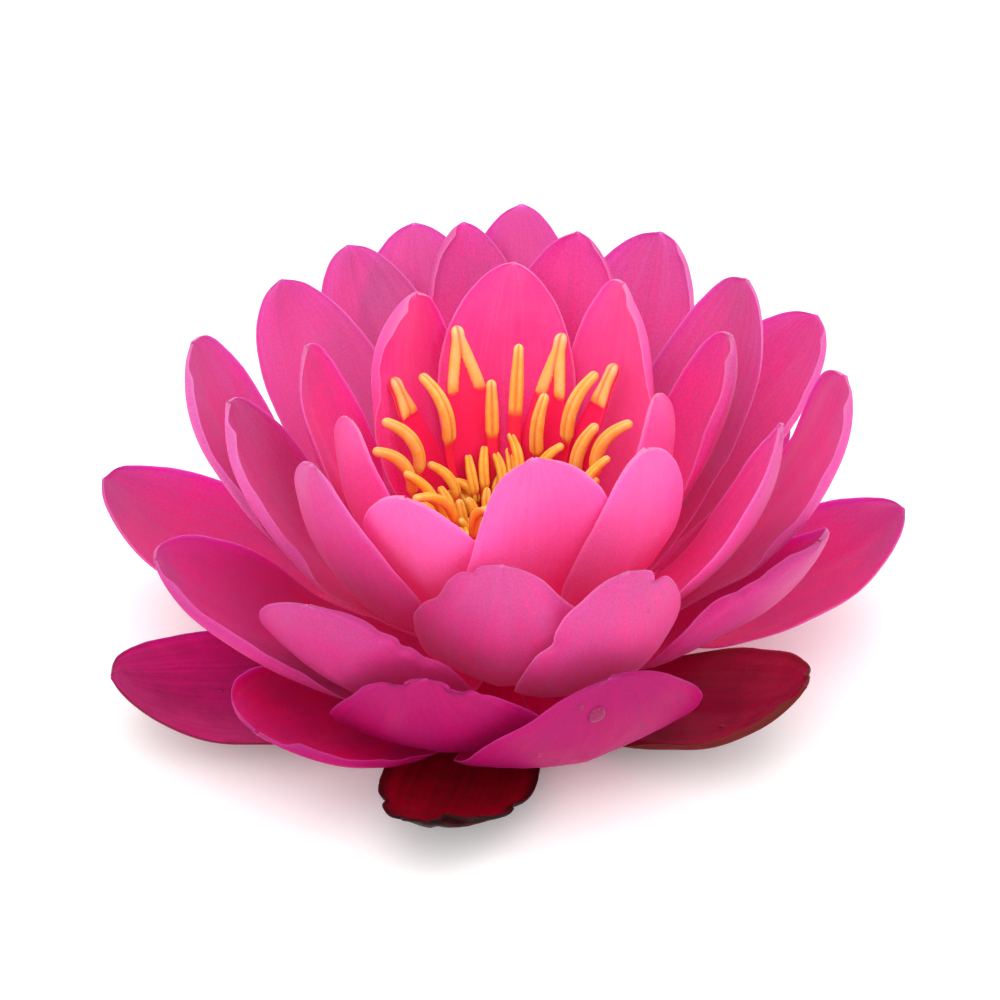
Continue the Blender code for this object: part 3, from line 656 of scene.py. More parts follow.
def petalMaterial(name):
    look, skin = petalColours[name], petalSkinLook
    material, tree, shader = newMaterial(
        name + "_petal_skin", 0.55, skin["throughLight"], skin["throughColour"], skin["throughDepth"])
    along, across, rim = mask(tree, "along"), mask(tree, "across"), mask(tree, "rim")
    inside, tone, seed = mask(tree, "inside"), mask(tree, "tone"), mask(tree, "seed")
    mottle = useGroup(tree, skinMottle, Patch_Size=skin["patches"], Grain_Size=skin["grain"], Seed=seed)
    patches, grain = mottle.outputs["Patches"], mottle.outputs["Grain"]
    veins = useGroup(tree, petalVeins, Along=along, Across=across, Seed=seed, Count=skin["veins"])
    uneven = maths(tree, "MULTIPLY", maths(tree, "SUBTRACT", patches, 0.5), skin["unevenness"])
    faded = {}
    for side in ("inside", "outside"):
        base, middle, tip = [srgb(*c) for c in look[side]]
        fade = useGroup(tree, lengthwiseFade, Along=along, Base_Colour=base, Middle_Colour=middle,
                        Tip_Colour=tip, Base_Reach=skin["baseReach"][side], Tip_Start=skin["tipStart"][side],
                        Unevenness=uneven)
        faded[side] = fade.outputs["Colour"]
    pale, deep = srgb(*look["outside"][2]), srgb(*look["inside"][0])
    colour = mixed(tree, inside, faded["outside"], faded["inside"])
    colour = mixed(tree, ranged(tree, veins.outputs["Streak"], 0.35, 0.68, 0.0, skin["streaks"]), colour, pale)
    colour = mixed(tree, maths(tree, "MULTIPLY", veins.outputs["Vein"], skin["darkVeins"]), colour, deep)
    colour = mixed(tree, ranged(tree, patches, 0.4, 0.7, 0.0, skin["palePatches"]), colour, pale)
    speckle = ranged(tree, grain, 0.3, 0.7, *skin["speckles"])
    colour = mixed(tree, 1.0, colour, combined(tree, speckle, speckle, speckle), "MULTIPLY")
    # Tone: paler or deeper shades that differ at random, and for petal_inner_2 a paler tone that is painted
    # light.
    colour = mixed(tree, maths(tree, "MAXIMUM", tone, 0.0), colour, pale)
    colour = mixed(tree, maths(tree, "MULTIPLY", maths(tree, "MINIMUM", tone, 0.0), -1.0), colour, deep)
    # Rim line: a painted highlight along the petal margins, and the sepals' own dark margin.
    edged = useGroup(tree, rimHighlightAndMargin, Rim=rim, Width=look["rimWidth"], Patches=patches, Colour=colour,
                     Rim_Colour=srgb(*look["rim"]), Strength=look["rimStrength"])
    feed(tree, shader.inputs["Base Color"], edged.outputs["Colour"])
    # Painted glow: the skin gives off light in its own colour, which brightens its shaded parts.
    feed(tree, shader.inputs["Emission Color"], edged.outputs["Colour"])
    feed(tree, shader.inputs["Roughness"], ranged(tree, patches, 0.3, 0.7, *skin["roughness"]))
    shader.inputs["Emission Strength"].default_value = skin["glow"]
    shader.inputs["Specular IOR Level"].default_value = look["gloss"]
    shader.inputs["Sheen Weight"].default_value = look["sheen"]
    shader.inputs["Sheen Roughness"].default_value = skin["sheenRoughness"]
    height = maths(tree, "ADD", maths(tree, "MULTIPLY", grain, 0.5),
                   maths(tree, "MULTIPLY", veins.outputs["Streak"], 1.4))
    raised(tree, shader, height, skin["relief"], skin["reliefHeight"])
    return material


# Positive is paler and negative deeper than the whorl's own colour. The paler tone of petal_inner_2 is painted
# light: it lifts a petal that stands in the shade of the others.
petalTonesAndPaintedLight = {
    "petal_inner_1": 0.0, "petal_inner_2": 0.35, "petal_inner_6": 0.12, "petal_inner_7": -0.05,
    "petal_cup_2": 0.2, "petal_cup_3": 0.1, "petal_cup_4": 0.2, "petal_cup_5": 0.3, "petal_cup_7": -0.1,
    "petal_cup_8": -0.1, "petal_spreading_3": 0.2,
}

petalSkins = {name: petalMaterial(name) for name in petalColours}
for number, (whorl, slot) in enumerate(petalSlots.items()):
    members = [n for n in sorted(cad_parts) if n.rsplit("_", 1)[0] == slot]
    for k, member in enumerate(members):
        rng = np.random.default_rng(100 * number + k)
        tone = petalTonesAndPaintedLight.get(member, rng.uniform(-0.06, 0.1))
        petalPiece(member, whorl, petalSkins[petalExceptions.get(member, whorl)], tone, rng)
    print(whorl, "petals:", len(members))


# Sizes in millimetres: half thickness of the filament and of the pollen lobes, least half width of the
# lobes, and where along the stamen the lobes start.
stamenLooks = {
    "curved": {"filament": 0.34, "lobe": 1.0, "least": 1.2, "start": 0.57, "rows": 60},
    "straight": {"filament": 0.34, "lobe": 0.95, "least": 1.2, "start": 0.63, "rows": 56},
    "short": {"filament": 0.36, "lobe": 0.8, "least": 0.9, "start": 0.56, "rows": 40},
}
straightStamens = ("stamen_outer_7", "stamen_outer_8")
petaloidLook = {"blade": 0.3, "lobe": 0.85, "lobeWidth": 2.2, "least": 1.25, "bowl": 0.05, "rows": 76,
                "halfColumns": 18}
petaloidStarts = {"stamen_outer_1": 0.76, "stamen_outer_2": 0.68, "stamen_outer_3": 0.68,
                  "stamen_outer_4": 0.76}
stamenLoopSize = 6
rowCrowding = 1.35
lobeOnset = 0.05
lobeTaper = {"from": 0.78, "narrower": 0.28, "thinner": 0.25}


# Centre line, direction across and half width of an outer stamen, from its loops in the frame.
def readStamen(piece, rows):
    loops = turnLoops(readLoops(piece, stamenLoopSize), False)
    centres = np.array([loop.mean(0) for loop in loops])
    across = np.array([loop[stamenLoopSize // 2] - loop[0] for loop in loops])
    half = np.linalg.norm(across, axis=1) / 2
    knots = np.linspace(0, 1, len(loops))
    u = 1 - (1 - np.linspace(0, 1, rows)) ** rowCrowding
    line = throughKnots(knots, centres, u)
    side = unit(throughKnots(knots, unit(across), u))
    return u, line, side, np.interp(u, knots, half)


# How far each row is closed towards a round end as wide as the stamen itself.
def roundEnd(u, line, radius):
    length = np.linalg.norm(np.diff(line, axis=0), axis=1).sum()
    share = radius / length
    return np.sqrt(np.maximum(1 - np.clip((u - 1 + share) / share, 0, 0.995) ** 2, 0))


# A rod with a flat filament below and two pollen lobes side by side above.
def stamenRings(u, line, side, half, look, points=28):
    tangent = unit(np.gradient(line, axis=0))
    up = unit(np.cross(tangent, side))
    side = np.cross(up, tangent)
    around = np.linspace(0, 2 * math.pi, points, endpoint=False)
    x, y = -np.cos(around), np.sin(around)
    plain = np.sqrt(np.maximum(1 - x ** 2, 0))
    lobed = np.maximum(np.sqrt(np.maximum(1 - ((np.abs(x) - 0.5) / 0.5) ** 2, 0)), 0.42 * plain)
    pollen = smoothStep(u, look["start"], look["start"] + lobeOnset)
    taper = smoothStep(u, lobeTaper["from"], 1.0)
    widest = np.maximum(half, look["least"] * mm * pollen) * (1 - lobeTaper["narrower"] * pollen * taper)
    close = roundEnd(u, line, 1.15 * widest[-1])
    wide = (half + (widest - half) * pollen) * close
    lobe = look["lobe"] * (1 - lobeTaper["thinner"] * taper)
    thick = (look["filament"] + (lobe - look["filament"]) * pollen) * close * mm
    verts, masks = [], {"pollen": [], "groove": [], "along": []}
    for i in range(len(u)):
        face = plain + (lobed - plain) * pollen[i]
        back = plain + (lobed - plain) * pollen[i] * 0.6
        height = np.where(y >= 0, face, -back)
        verts += list(line[i] + np.outer(x, side[i]) * wide[i] + np.outer(height, up[i]) * thick[i])
        masks["pollen"] += [pollen[i]] * points
        masks["groove"] += list(bump(x, 0, 0.17) * pollen[i])
        masks["along"] += [u[i]] * points
    return verts, ringFaces(len(u), points), masks


# A petal-like stamen: a blade whose two margins carry pollen lobes that meet in a blunt tip.
def petaloidRings(piece, look):
    u, line, side, half = readStamen(piece, look["rows"])
    tangent = unit(np.gradient(line, axis=0))
    up = unit(np.cross(tangent, side))
    columns = 1 - (1 - np.linspace(0, 1, look["halfColumns"] + 1)) ** 1.4
    v = np.concatenate([-columns[:0:-1], columns])
    order = [*range(len(v)), *range(len(v) - 2, 0, -1)]
    start = petaloidStarts[piece]
    begin = smoothStep(u, start, start + lobeOnset)
    widest = np.where(u > 0.5, np.maximum(half / mm, look["least"]), half / mm)
    close = roundEnd(u, line, 1.1 * look["least"] * mm)
    verts, masks = [], {"pollen": [], "groove": [], "along": []}
    for i in range(len(u)):
        wide = widest[i] * close[i]
        lobeHalf = min(look["lobeWidth"] / 2, wide * 0.62)
        centre = wide - lobeHalf
        x = v * wide
        lobe = np.sqrt(np.maximum(1 - ((np.abs(x) - centre) / lobeHalf) ** 2, 0)) * begin[i]
        flat = look["blade"] * np.sqrt(np.maximum(1 - np.abs(v) ** 10, 0)) * close[i]
        top = flat + look["lobe"] * lobe * close[i]
        bottom = -flat - 0.4 * lobe * close[i]
        bowl = look["bowl"] * x ** 2 * (1 - 0.5 * begin[i])
        rise = np.concatenate([(bowl + top), (bowl + bottom)[-2:0:-1]])
        verts += list(line[i] + (np.outer(x[order], side[i]) + np.outer(rise, up[i])) * mm)
        masks["pollen"] += list(smoothStep(lobe, 0.15, 0.45)[order])
        masks["groove"] += list((bump(x, 0, 0.3) * (centre < 1.1) * begin[i])[order])
        masks["along"] += [u[i]] * len(order)
    return verts, ringFaces(len(u), len(order)), masks


# Filament: red at the foot. Pollen lobes: yellow with orange in the groove and a paler tip.
stamenColours = {
    "outer": {
        "foot": (232, 10, 62), "filament": (244, 30, 76),
        "pollen": (246, 178, 74), "groove": (236, 112, 36), "apex": (250, 208, 126),
    },
    "short": {
        "foot": (232, 30, 48), "filament": (242, 92, 54),
        "pollen": (248, 186, 58), "groove": (240, 128, 26), "apex": (252, 216, 120),
    },
    "petaloid": {
        "foot": (226, 2, 70), "filament": (240, 22, 92),
        "pollen": (248, 184, 90), "groove": (240, 104, 70), "apex": (250, 202, 150),
    },
}
stamenSkinLook = {"patches": 1.6, "grain": 0.14, "dust": 0.35, "grooveDepth": 0.75, "speckles": (0.88, 1.08),
                  "roughness": (0.42, 0.62), "gloss": 0.35, "relief": 0.5, "reliefHeight": 0.06 * mm}


def stamenMaterial(kind):
    skin = stamenSkinLook
    material, tree, shader = newMaterial("stamen_" + kind + "_skin", 0.5, 0.25, (1.0, 0.5, 0.2), 1 * mm)
    along, pollen, groove = mask(tree, "along"), mask(tree, "pollen"), mask(tree, "groove")
    mottle = useGroup(tree, skinMottle, Patch_Size=skin["patches"], Grain_Size=skin["grain"], Seed=3.0)
    patches, grain = mottle.outputs["Patches"], mottle.outputs["Grain"]
    foot, filament, yellow, deep, apex = [srgb(*c) for c in stamenColours[kind].values()]
    stalk = useGroup(tree, lengthwiseFade, Along=along, Base_Colour=foot, Middle_Colour=filament,
                     Tip_Colour=filament, Base_Reach=0.45, Tip_Start=0.9)
    lobes = useGroup(tree, lengthwiseFade, Along=along, Base_Colour=deep, Middle_Colour=yellow,
                     Tip_Colour=apex, Base_Reach=0.72, Tip_Start=0.9)
    dusty = mixed(tree, ranged(tree, patches, 0.4, 0.65, 0.0, skin["dust"]), lobes.outputs["Colour"], apex)
    grooved = mixed(tree, maths(tree, "MULTIPLY", groove, skin["grooveDepth"]), dusty, deep)
    colour = mixed(tree, pollen, stalk.outputs["Colour"], grooved)
    speckle = ranged(tree, grain, 0.3, 0.7, *skin["speckles"])
    colour = mixed(tree, 1.0, colour, combined(tree, speckle, speckle, speckle), "MULTIPLY")
    feed(tree, shader.inputs["Base Color"], colour)
    feed(tree, shader.inputs["Roughness"], ranged(tree, grain, 0.3, 0.7, *skin["roughness"]))
    shader.inputs["Specular IOR Level"].default_value = skin["gloss"]
    raised(tree, shader, grain, skin["relief"], skin["reliefHeight"])
    return material


outerStamenSkin = stamenMaterial("outer")
shortStamenSkin = stamenMaterial("short")
petaloidSkin = stamenMaterial("petaloid")

for name in sorted(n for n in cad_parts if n.startswith("stamen_outer_")):
    if name in petaloidStarts:
        addPiece(name, *petaloidRings(name, petaloidLook), petaloidSkin, "stamen_petaloid", (name,))
    else:
        look = stamenLooks["straight" if name in straightStamens else "curved"]
        rings = stamenRings(*readStamen(name, look["rows"]), look)
        addPiece(name, *rings, outerStamenSkin, "stamen", (name,))
print("outer stamens done")

# The two inner whorls. Each stands on one collar. Lengths in millimetres, angles in degrees. Each foot
# carries a stamen, and a shorter one stands beside it.
innerWhorls = {
    "stamens_middle": {
        "collar": (6.9, 8.0), "foot": 7.45, "width": 1.6, "seed": 4, "between": 9,
        "back": {"at": (4, 22, 40, 57, 75, 92, 112, 124, 148, 174), "length": (14, 21),
                 "lean": (73, 76), "start": (92, 104), "tip": (-10, 40)},
        "front": {"at": (196, 212, 228, 244, 260, 276, 292, 308, 324, 344), "length": (24, 29),
                  "lean": (62, 66), "start": (88, 100), "tip": (-10, 30)},
    },
    "stamens_inner": {
        "collar": (5.6, 6.55), "foot": 6.1, "width": 1.35, "seed": 9, "between": 11,
        "back": {"at": (12, 33, 54, 75, 96, 118, 140, 162), "length": (8, 13),
                 "lean": (81, 84), "start": (90, 98), "tip": (40, 75)},
        "front": {"at": (184, 206, 228, 250, 272, 294, 316, 338), "length": (11, 15),
                  "lean": (78, 81), "start": (90, 98), "tip": (35, 70)},
    },
}
collarLook = {"low": 19.3, "high": 20.2, "bevel": 0.25, "footBump": 0.35, "bumpWidth": 6, "segments": 120}
stamenFoot = 19.7
sidewaysHook = 60
shorterBy = (0.62, 0.85)


# A line that leaves its seat at one lift, and bends from another lift to a third over its upper half.
def bentLine(seat, turn, radius, foot, length, lean, start, tip, rows, hook=0.0):
    fine = np.linspace(0, 1, 41)
    lift = np.interp(fine, (0, 0.4, 0.5, 1), (lean, lean, start, tip))
    lift = np.convolve(np.pad(lift, 3, mode="edge"), np.ones(7) / 7, mode="valid") * deg
    az = (seat + (turn - seat) * np.clip(fine * 3, 0, 1) + hook * smoothStep(fine, 0.45, 0.9)) * deg
    step = np.stack([np.cos(lift) * np.cos(az), np.cos(lift) * np.sin(az), np.sin(lift)], -1)
    first = np.array([radius * math.cos(seat * deg), radius * math.sin(seat * deg), foot])
    gone = np.cumsum((step[1:] + step[:-1]) / 2 * (length / (len(fine) - 1)), 0)
    line = first + np.concatenate([np.zeros((1, 3)), gone])
    side = np.stack([-np.sin(az), np.cos(az), np.zeros(len(fine))], -1)
    u = 1 - (1 - np.linspace(0, 1, rows)) ** rowCrowding
    line = np.stack([np.interp(u, fine, line[:, c]) for c in range(3)], -1) * mm + flowerAxis
    side = np.stack([np.interp(u, fine, side[:, c]) for c in range(3)], -1)
    return u, line, side


# The ring that the feet of a whorl grow from, with a soft bump at each foot.
def collarRing(inside, outside, seats):
    low, high, bevel, n = [collarLook[key] for key in ("low", "high", "bevel", "segments")]
    profile = [(inside, low), (outside, low), (outside, high - bevel), (outside - bevel, high),
               (inside + bevel, high), (inside, high - bevel), (inside, low)]
    verts = []
    for radius, z in profile[:-1]:
        for k in range(n):
            a = 2 * math.pi * k / n
            apart = [(math.degrees(a) - seat + 180) % 360 - 180 for seat in seats]
            near = max(bump(x, 0, collarLook["bumpWidth"]) for x in apart)
            lifted = z + collarLook["footBump"] * near if z > low else z
            verts.append((radius * math.cos(a) * mm + axisX, radius * math.sin(a) * mm + axisY, lifted * mm))
    total = len(verts)
    faces = [tuple(i % total for i in face) for face in turnedFaces(len(profile), n)]
    return verts, faces


def innerWhorl(name, whorl, look):
    rng = np.random.default_rng(whorl["seed"])
    hooks = np.random.default_rng(whorl["seed"] + 50)
    verts, faces = collarRing(*whorl["collar"], whorl["back"]["at"] + whorl["front"]["at"])
    masks = {key: [0.0] * len(verts) for key in ("pollen", "groove", "along")}
    for part in (whorl["back"], whorl["front"]):
        for az in part["at"]:
            turn = az + rng.uniform(-3, 3)
            length, lean, start, tip = [rng.uniform(*part[key]) for key in ("length", "lean", "start", "tip")]
            hook = sidewaysHook * hooks.uniform(-1, 1)
            grown = [(az, turn, whorl["foot"], stamenFoot, length, lean, start, tip, look["rows"], hook)]
            length *= hooks.uniform(*shorterBy)
            az += whorl["between"] + hooks.uniform(-2, 2)
            hook = sidewaysHook * hooks.uniform(-1, 1)
            grown.append((az, az, whorl["foot"], stamenFoot, length, lean - 5, start, tip, look["rows"], hook))
            for bends in grown:
                u, line, side = bentLine(*bends)
                half = np.interp(u, (0, 0.4, 0.52, 1), (0.8, 0.8, 1.0, 1.0)) * whorl["width"] / 2 * mm
                join(verts, faces, masks, *stamenRings(u, line, side, half, look, 20))
    addPiece(name, verts, faces, masks, shortStamenSkin, "stamen", (name,))


for name, whorl in innerWhorls.items():
    innerWhorl(name, whorl, stamenLooks["short"])
print("inner stamens done")


# A shallow bowl with rays, a knob in the middle and small fingers that curl in over the rim. The
# profile gives radius and height in millimetres.
stigmaLook = {
    "profile": [(4.2, 19.3), (4.9, 19.7), (5.15, 20.2), (5.15, 20.8), (4.9, 21.2), (4.5, 21.2), (3.9, 20.95),
                (3.2, 20.72), (2.5, 20.58), (1.9, 20.6), (1.5, 20.75), (1.1, 21.15), (0.7, 21.4), (0.3, 21.5)],
    "rows": 60, "segments": 216, "rays": 18, "rayHeight": 0.28, "scallop": 0.03, "topFrom": 20.3,
    "outside": 5.2,
    "fingerSeat": (4.72, 20.9), "fingerLength": 1.9, "fingerWidth": 0.5,
    "hollow": (232, 150, 34), "ray": (252, 208, 84), "blush": (240, 120, 40), "knob": (250, 222, 130),
}
fingerLook = {"filament": 0.4, "lobe": 0.4, "least": 0.3, "start": 2.0}


# Points of a smooth profile through the given ones.
def smoothProfile(profile, rows):
    knots = np.arange(len(profile), dtype=float)
    return throughKnots(knots, np.array(profile), np.linspace(0, len(profile) - 1, rows))


def stigmaPiece(look, material):
    n = look["segments"]
    verts, masks = [], {"ray": [], "along": []}
    for radius, z in smoothProfile(look["profile"], look["rows"]):
        on = float(smoothStep(radius, 1.6, 2.6) * (z > look["topFrom"]))
        for k in range(n):
            a = 2 * math.pi * k / n
            ray = (0.5 + 0.5 * math.cos(look["rays"] * a)) ** 2
            scallop = 1 + look["scallop"] * (ray - 0.5) * float(smoothStep(radius, 3.6, 5.0))
            x, y = radius * scallop * math.cos(a), radius * scallop * math.sin(a)
            verts.append((x * mm + axisX, y * mm + axisY, (z + look["rayHeight"] * ray * on) * mm))
            masks["ray"].append(ray * on)
            masks["along"].append(1 - radius / look["outside"])
    faces = closedTurn(look["rows"], n)
    rng = np.random.default_rng(21)
    for k in range(look["rays"]):
        az = 360 / look["rays"] * k
        length = look["fingerLength"] * rng.uniform(0.85, 1.1)
        turn, tip = az + rng.uniform(-6, 6), 150 + rng.uniform(-15, 10)
        u, line, side = bentLine(az, turn, *look["fingerSeat"], length, 92, 110, tip, 14)
        half = np.interp(u, (0, 0.5, 1), (1.0, 0.8, 0.5)) * look["fingerWidth"] * mm
        rodVerts, rodFaces = stamenRings(u, line, side, half, fingerLook, 16)[:2]
        rodMasks = {"ray": [0.8] * len(rodVerts), "along": [0.1] * len(rodVerts)}
        join(verts, faces, masks, rodVerts, rodFaces, rodMasks)
    addPiece("stigma_disc", verts, faces, masks, material, "stigma", ("stigma_disc",))


def stigmaMaterial(look):
    material, tree, shader = newMaterial("stigma_skin", 0.42, 0.25, (1.0, 0.6, 0.2), 1 * mm)
    mottle = useGroup(tree, skinMottle, Patch_Size=1.4, Grain_Size=0.16, Seed=11.0)
    blush = ranged(tree, mottle.outputs["Patches"], 0.4, 0.7, 0.0, 0.35)
    middle = ranged(tree, mask(tree, "along"), 0.6, 0.9, 0.0, 0.5)
    body = mixed(tree, mask(tree, "ray"), srgb(*look["hollow"]), srgb(*look["ray"]))
    body = mixed(tree, blush, body, srgb(*look["blush"]))
    body = mixed(tree, middle, body, srgb(*look["knob"]))
    feed(tree, shader.inputs["Base Color"], body)
    feed(tree, shader.inputs["Roughness"], ranged(tree, mottle.outputs["Grain"], 0.3, 0.7, 0.3, 0.5))
    raised(tree, shader, mottle.outputs["Specks"], 0.4, 0.08 * mm)
    return material


stigmaPiece(stigmaLook, stigmaMaterial(stigmaLook))


# The receptacle and the stub of the stem: radius at each height in millimetres. The cut face shows four
# wide air canals and a ring of narrow ones.
receptacleLook = {
    "profile": [(5.1, 0.0), (5.5, 0.12), (5.72, 0.5), (5.8, 1.2), (6.0, 1.8), (7.4, 2.3), (8.7, 2.85),
                (9.8, 3.6), (10.5, 4.5), (10.9, 5.8), (11.0, 8.0), (11.0, 12.0), (11.0, 16.0), (10.95, 17.8),
                (10.75, 18.7), (10.3, 19.0)],
    "rows": 76, "segments": 156, "top": 19.0, "widest": 11.05,
    "ridges": 26, "ridgeHeight": 0.1, "ridgesBelow": (5, 9), "lumps": 0.08,
    "canals": 4, "canalRadius": 1.15, "canalRing": 1.95, "canalTurn": 45,
    "smallCanals": 10, "smallRadius": 0.42, "smallRing": 4.1, "canalDepth": 1.5, "canalSegments": 28,
    "sharpAngle": 50,
    "stub": (96, 62, 34), "under": (122, 34, 34), "side": (176, 58, 70), "cut": (176, 150, 92),
    "stain": (70, 52, 26), "speck": (150, 110, 60),
}


# Plugs in the shape of the air canals, a little uneven and rounded at their inner ends.
def canalPlugs(look):
    canals = [(look["canalRing"], look["canalTurn"] + 360 / look["canals"] * k, look["canalRadius"])
              for k in range(look["canals"])]
    canals += [(look["smallRing"], 360 / look["smallCanals"] * k, look["smallRadius"])
               for k in range(look["smallCanals"])]
    depth, n = look["canalDepth"], look["canalSegments"]
    levels = [(1.12, -0.4), (1.06, 0.05), (1.0, 0.25), (0.97, depth - 0.3), (0.7, depth)]
    verts, faces = [], []
    for ring, angle, radius in canals:
        cx, cy = axisX + ring * math.cos(angle * deg) * mm, axisY + ring * math.sin(angle * deg) * mm
        faces += closedTurn(len(levels), n, len(verts))
        for share, z in levels:
            for k in range(n):
                a = 2 * math.pi * k / n
                out = radius * share * (1 + 0.05 * math.sin(3 * a + angle))
                verts.append((cx + out * math.cos(a) * mm, cy + out * math.sin(a) * mm, z * mm))
    mesh = bpy.data.meshes.new("canals")
    mesh.from_pydata(verts, [], faces)
    plugs = bpy.data.objects.new("canals", mesh)
    scene.collection.objects.link(plugs)
    return plugs


def receptaclePiece(look, material):
    rows = smoothProfile(look["profile"], look["rows"])
    rows[:, 1] = np.clip(rows[:, 1], 0, look["top"])
    n = look["segments"]
    verts = []
    for radius, z in rows:
        lowPart = float(smoothStep(z, 0.1, 0.6)) * float(1 - smoothStep(z, *look["ridgesBelow"]))
        ridged = look["ridgeHeight"] * lowPart
        lumpy = look["lumps"] * float(smoothStep(z, 0.2, 1.0))
        for k in range(n):
            a = 2 * math.pi * k / n
            ridge = ridged * math.cos(look["ridges"] * a + 0.4 * math.sin(3 * a))
            lump = lumpy * math.sin(9 * a + z * 2.1) * math.sin(z * 1.3 + 4 * a)
            r = min(radius + ridge + lump, look["widest"])
            verts.append((r * math.cos(a) * mm + axisX, r * math.sin(a) * mm + axisY, z * mm))
    faces = closedTurn(len(rows), n)
    piece = addPiece("receptacle", verts, faces, {}, material, "receptacle", ("receptacle",))
    plugs = canalPlugs(look)
    cut = piece.modifiers.new("air canals", "BOOLEAN")
    cut.operation, cut.solver, cut.object = "DIFFERENCE", "EXACT", plugs
    bpy.context.view_layer.update()
    shaped = bpy.data.meshes.new_from_object(piece.evaluated_get(bpy.context.evaluated_depsgraph_get()))
    piece.modifiers.clear()
    piece.data = shaped
    bpy.data.objects.remove(plugs, do_unlink=True)
    shaped.set_sharp_from_angle(angle=look["sharpAngle"] * deg)


def receptacleMaterial(look):
    material, tree, shader = newMaterial("receptacle_skin", 0.5, 0.12, (0.8, 0.5, 0.2), 1 * mm)
    mottle = useGroup(tree, skinMottle, Patch_Size=2.6, Grain_Size=0.25, Seed=5.0)
    place = node(tree, "ShaderNodeSeparateXYZ")
    feed(tree, place.inputs[0], node(tree, "ShaderNodeTexCoord").outputs["Object"])
    up = place.outputs["Z"]
    stub, under, side, cut, stain, speck = [
        srgb(*look[key]) for key in ("stub", "under", "side", "cut", "stain", "speck")]
    stained = ranged(tree, mottle.outputs["Patches"], 0.42, 0.68, 0.0, 0.6)
    specked = ranged(tree, mottle.outputs["Specks"], 0.4, 0.9, 0.0, 0.25)
    body = mixed(tree, ranged(tree, up, 0.5 * mm, 4.5 * mm), stub, under)
    body = mixed(tree, ranged(tree, up, 4 * mm, 12 * mm), body, side)
    body = mixed(tree, ranged(tree, up, 0.0, 0.1 * mm, 1.0, 0.0), body, cut)
    body = mixed(tree, stained, body, stain)
    body = mixed(tree, specked, body, speck)
    feed(tree, shader.inputs["Base Color"], body)
    feed(tree, shader.inputs["Roughness"], ranged(tree, mottle.outputs["Grain"], 0.3, 0.7, 0.42, 0.62))
    raised(tree, shader, mottle.outputs["Grain"], 0.5, 0.1 * mm)
    return material


receptaclePiece(receptacleLook, receptacleMaterial(receptacleLook))
print("stigma and receptacle done")


# Drops of water: petal, face, place along and across, radius and height in millimetres.
waterDrops = [
    ("petal_low_2", "outer", 0.9, -0.17, 1.6, 0.9), ("petal_low_2", "outer", 0.93, -0.45, 0.55, 0.4),
    ("petal_low_2", "outer", 0.74, -0.5, 0.5, 0.35), ("petal_low_2", "outer", 0.7, -0.62, 0.32, 0.22),
    ("sepal_3", "inner", 0.7, -0.35, 0.7, 0.4), ("sepal_3", "inner", 0.62, 0.7, 0.45, 0.3),
    ("petal_spreading_3", "inner", 0.72, 0.6, 0.55, 0.35), ("petal_low_3", "inner", 0.7, -0.4, 0.4, 0.28),
    ("petal_second_8", "outer", 0.86, 0.35, 0.4, 0.28), ("sepal_1", "inner", 0.66, -0.2, 0.5, 0.3),
]
dropLook = {"rings": 9, "segments": 28, "sunk": 0.12, "flatness": 0.8, "cloudSize": 900.0,
            "pale": (250, 246, 250), "clear": (255, 255, 255)}


def waterPiece(drops, look, material):
    verts, faces = [], []
    rings, n = look["rings"], look["segments"]
    for petal, face, u, v, radius, height in drops:
        made = petalFaces[petal]
        grid = made[face]
        i, j = int(np.abs(made["along"] - u).argmin()), int(np.abs(made["across"] - v).argmin())
        normal = gridNormals(grid)[i, j] * (1 if face == "inner" else -1)
        first = unit(np.gradient(grid, axis=0)[i, j])
        second = np.cross(normal, first)
        start = len(verts)
        for k in range(rings):
            lift = math.pi / 2 * k / rings
            out = radius * math.cos(lift) ** look["flatness"] * mm
            up = (height * math.sin(lift) - look["sunk"]) * mm
            for m in range(n):
                a = 2 * math.pi * m / n
                uneven = 1 + 0.05 * math.sin(2 * a + 3 * u) + 0.03 * math.sin(3 * a)
                around = (first * math.cos(a) + second * math.sin(a)) * out * uneven
                verts.append(grid[i, j] + around + normal * up)
        faces.append(tuple(start + m for m in reversed(range(n))))
        faces += turnedFaces(rings, n, start)
        last = start + (rings - 1) * n
        faces += [(last + m, last + (m + 1) % n, len(verts)) for m in range(n)]
        verts.append(grid[i, j] + normal * (height - look["sunk"]) * mm)
    addPiece("water_drops", verts, faces, {}, material, None)


def waterMaterial(look):
    material, tree, shader = newMaterial("water", 0.03)
    cloud = noise(tree, node(tree, "ShaderNodeTexCoord").outputs["Object"], look["cloudSize"], 1.0, 0.5)
    feed(tree, shader.inputs["Base Color"], mixed(tree, cloud, srgb(*look["pale"]), srgb(*look["clear"])))
    shader.inputs["Transmission Weight"].default_value = 1.0
    shader.inputs["IOR"].default_value = 1.33
    raised(tree, shader, cloud, 0.1, 0.02 * mm)
    return material


waterPiece(waterDrops, dropLook, waterMaterial(dropLook))
print("water drops:", len(waterDrops))


# A plain pale floor, larger than any view of it.
floorLook = {"reach": 3.0, "dark": (250, 249, 248), "pale": (254, 254, 253), "gloss": 0.1, "glow": 0.1}


def floorPiece(look):
    material, tree, shader = newMaterial("floor_paint", 0.75)
    cloud = noise(tree, node(tree, "ShaderNodeTexCoord").outputs["Object"], 2.0, 2.0, 0.5)
    feed(tree, shader.inputs["Base Color"], mixed(tree, cloud, srgb(*look["dark"]), srgb(*look["pale"])))
    shader.inputs["Specular IOR Level"].default_value = look["gloss"]
    shader.inputs["Emission Color"].default_value = (1.0, 1.0, 1.0, 1)
    shader.inputs["Emission Strength"].default_value = look["glow"]
    r = look["reach"]
    mesh = bpy.data.meshes.new("floor")
    mesh.from_pydata([(-r, -r, 0), (r, -r, 0), (r, r, 0), (-r, r, 0)], [], [(0, 1, 2, 3)])
    mesh.materials.append(material)
    floor = bpy.data.objects.new("floor", mesh)
    scene.collection.objects.link(floor)


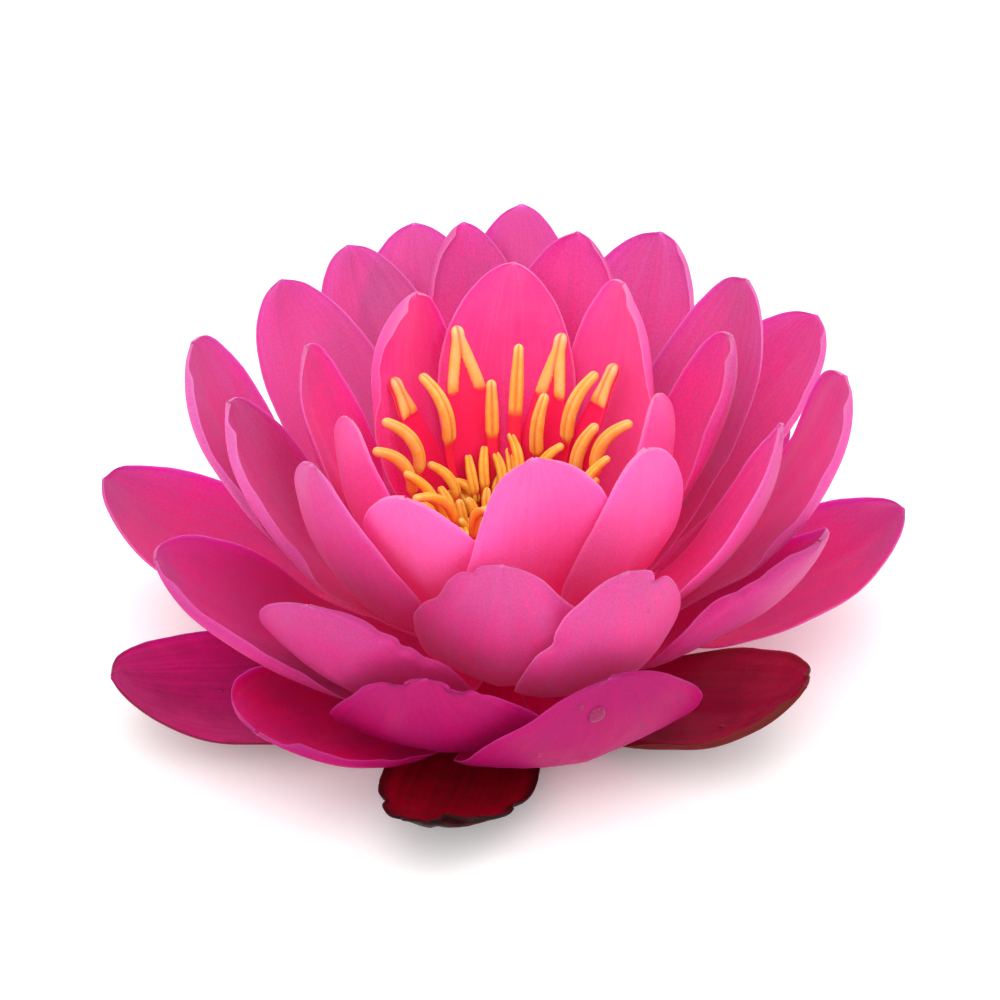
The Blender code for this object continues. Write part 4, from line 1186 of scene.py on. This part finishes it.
floorPiece(floorLook)

# Soft lights from a bright room and three lamps: azimuth, elevation, distance and size in metres,
# power, colour.
roomLight = {"colour": (1.0, 0.985, 0.995, 1), "strength": 1.2}
studioLights = {
    "top": (0, 78, 1.2, 1.4, 4, (1.0, 0.985, 0.98)),
    "front": (-20, 36, 1.3, 1.0, 4, (1.0, 0.98, 0.98)),
    "fill": (50, 30, 1.5, 1.0, 2, (1.0, 0.97, 0.98)),
}
aimHeight = 25 * mm

world = bpy.data.worlds.new("studio")
scene.world = world
world.use_nodes = True
background = world.node_tree.nodes["Background"]
background.inputs["Color"].default_value = roomLight["colour"]
background.inputs["Strength"].default_value = roomLight["strength"]
aimPoint = Vector((axisX, axisY, aimHeight))
for name, (azimuth, elevation, distance, size, power, tint) in studioLights.items():
    lamp = bpy.data.lights.new(name, "AREA")
    lamp.shape, lamp.size, lamp.energy, lamp.color = "DISK", size, power, tint
    holder = bpy.data.objects.new(name, lamp)
    scene.collection.objects.link(holder)
    a, e = azimuth * deg, elevation * deg
    towards = Vector((math.sin(a) * math.cos(e), -math.cos(a) * math.cos(e), math.sin(e)))
    holder.location = aimPoint + distance * towards
    holder.rotation_euler = (aimPoint - holder.location).to_track_quat("-Z", "Y").to_euler()

cameraLook = {"elevation": 34, "distance": 0.9, "lens": 185.2, "sensor": 36}
middleHeight, lookRight, lookUp = 4 * mm, -0.875 * mm, 24.5 * mm
elevation = cameraLook["elevation"] * deg
target = Vector((axisX, axisY, middleHeight))
camera = bpy.data.objects.new("camera", bpy.data.cameras.new("camera"))
camera.data.lens = cameraLook["lens"]
camera.data.sensor_width = cameraLook["sensor"]
camera.location = target + cameraLook["distance"] * Vector((0, -math.cos(elevation), math.sin(elevation)))
aim = target + Vector((lookRight, lookUp * math.sin(elevation), lookUp * math.cos(elevation)))
camera.rotation_euler = (aim - camera.location).to_track_quat("-Z", "Y").to_euler()
scene.collection.objects.link(camera)
scene.camera = camera
scene.view_settings.view_transform = "Standard"

print("scene ready")
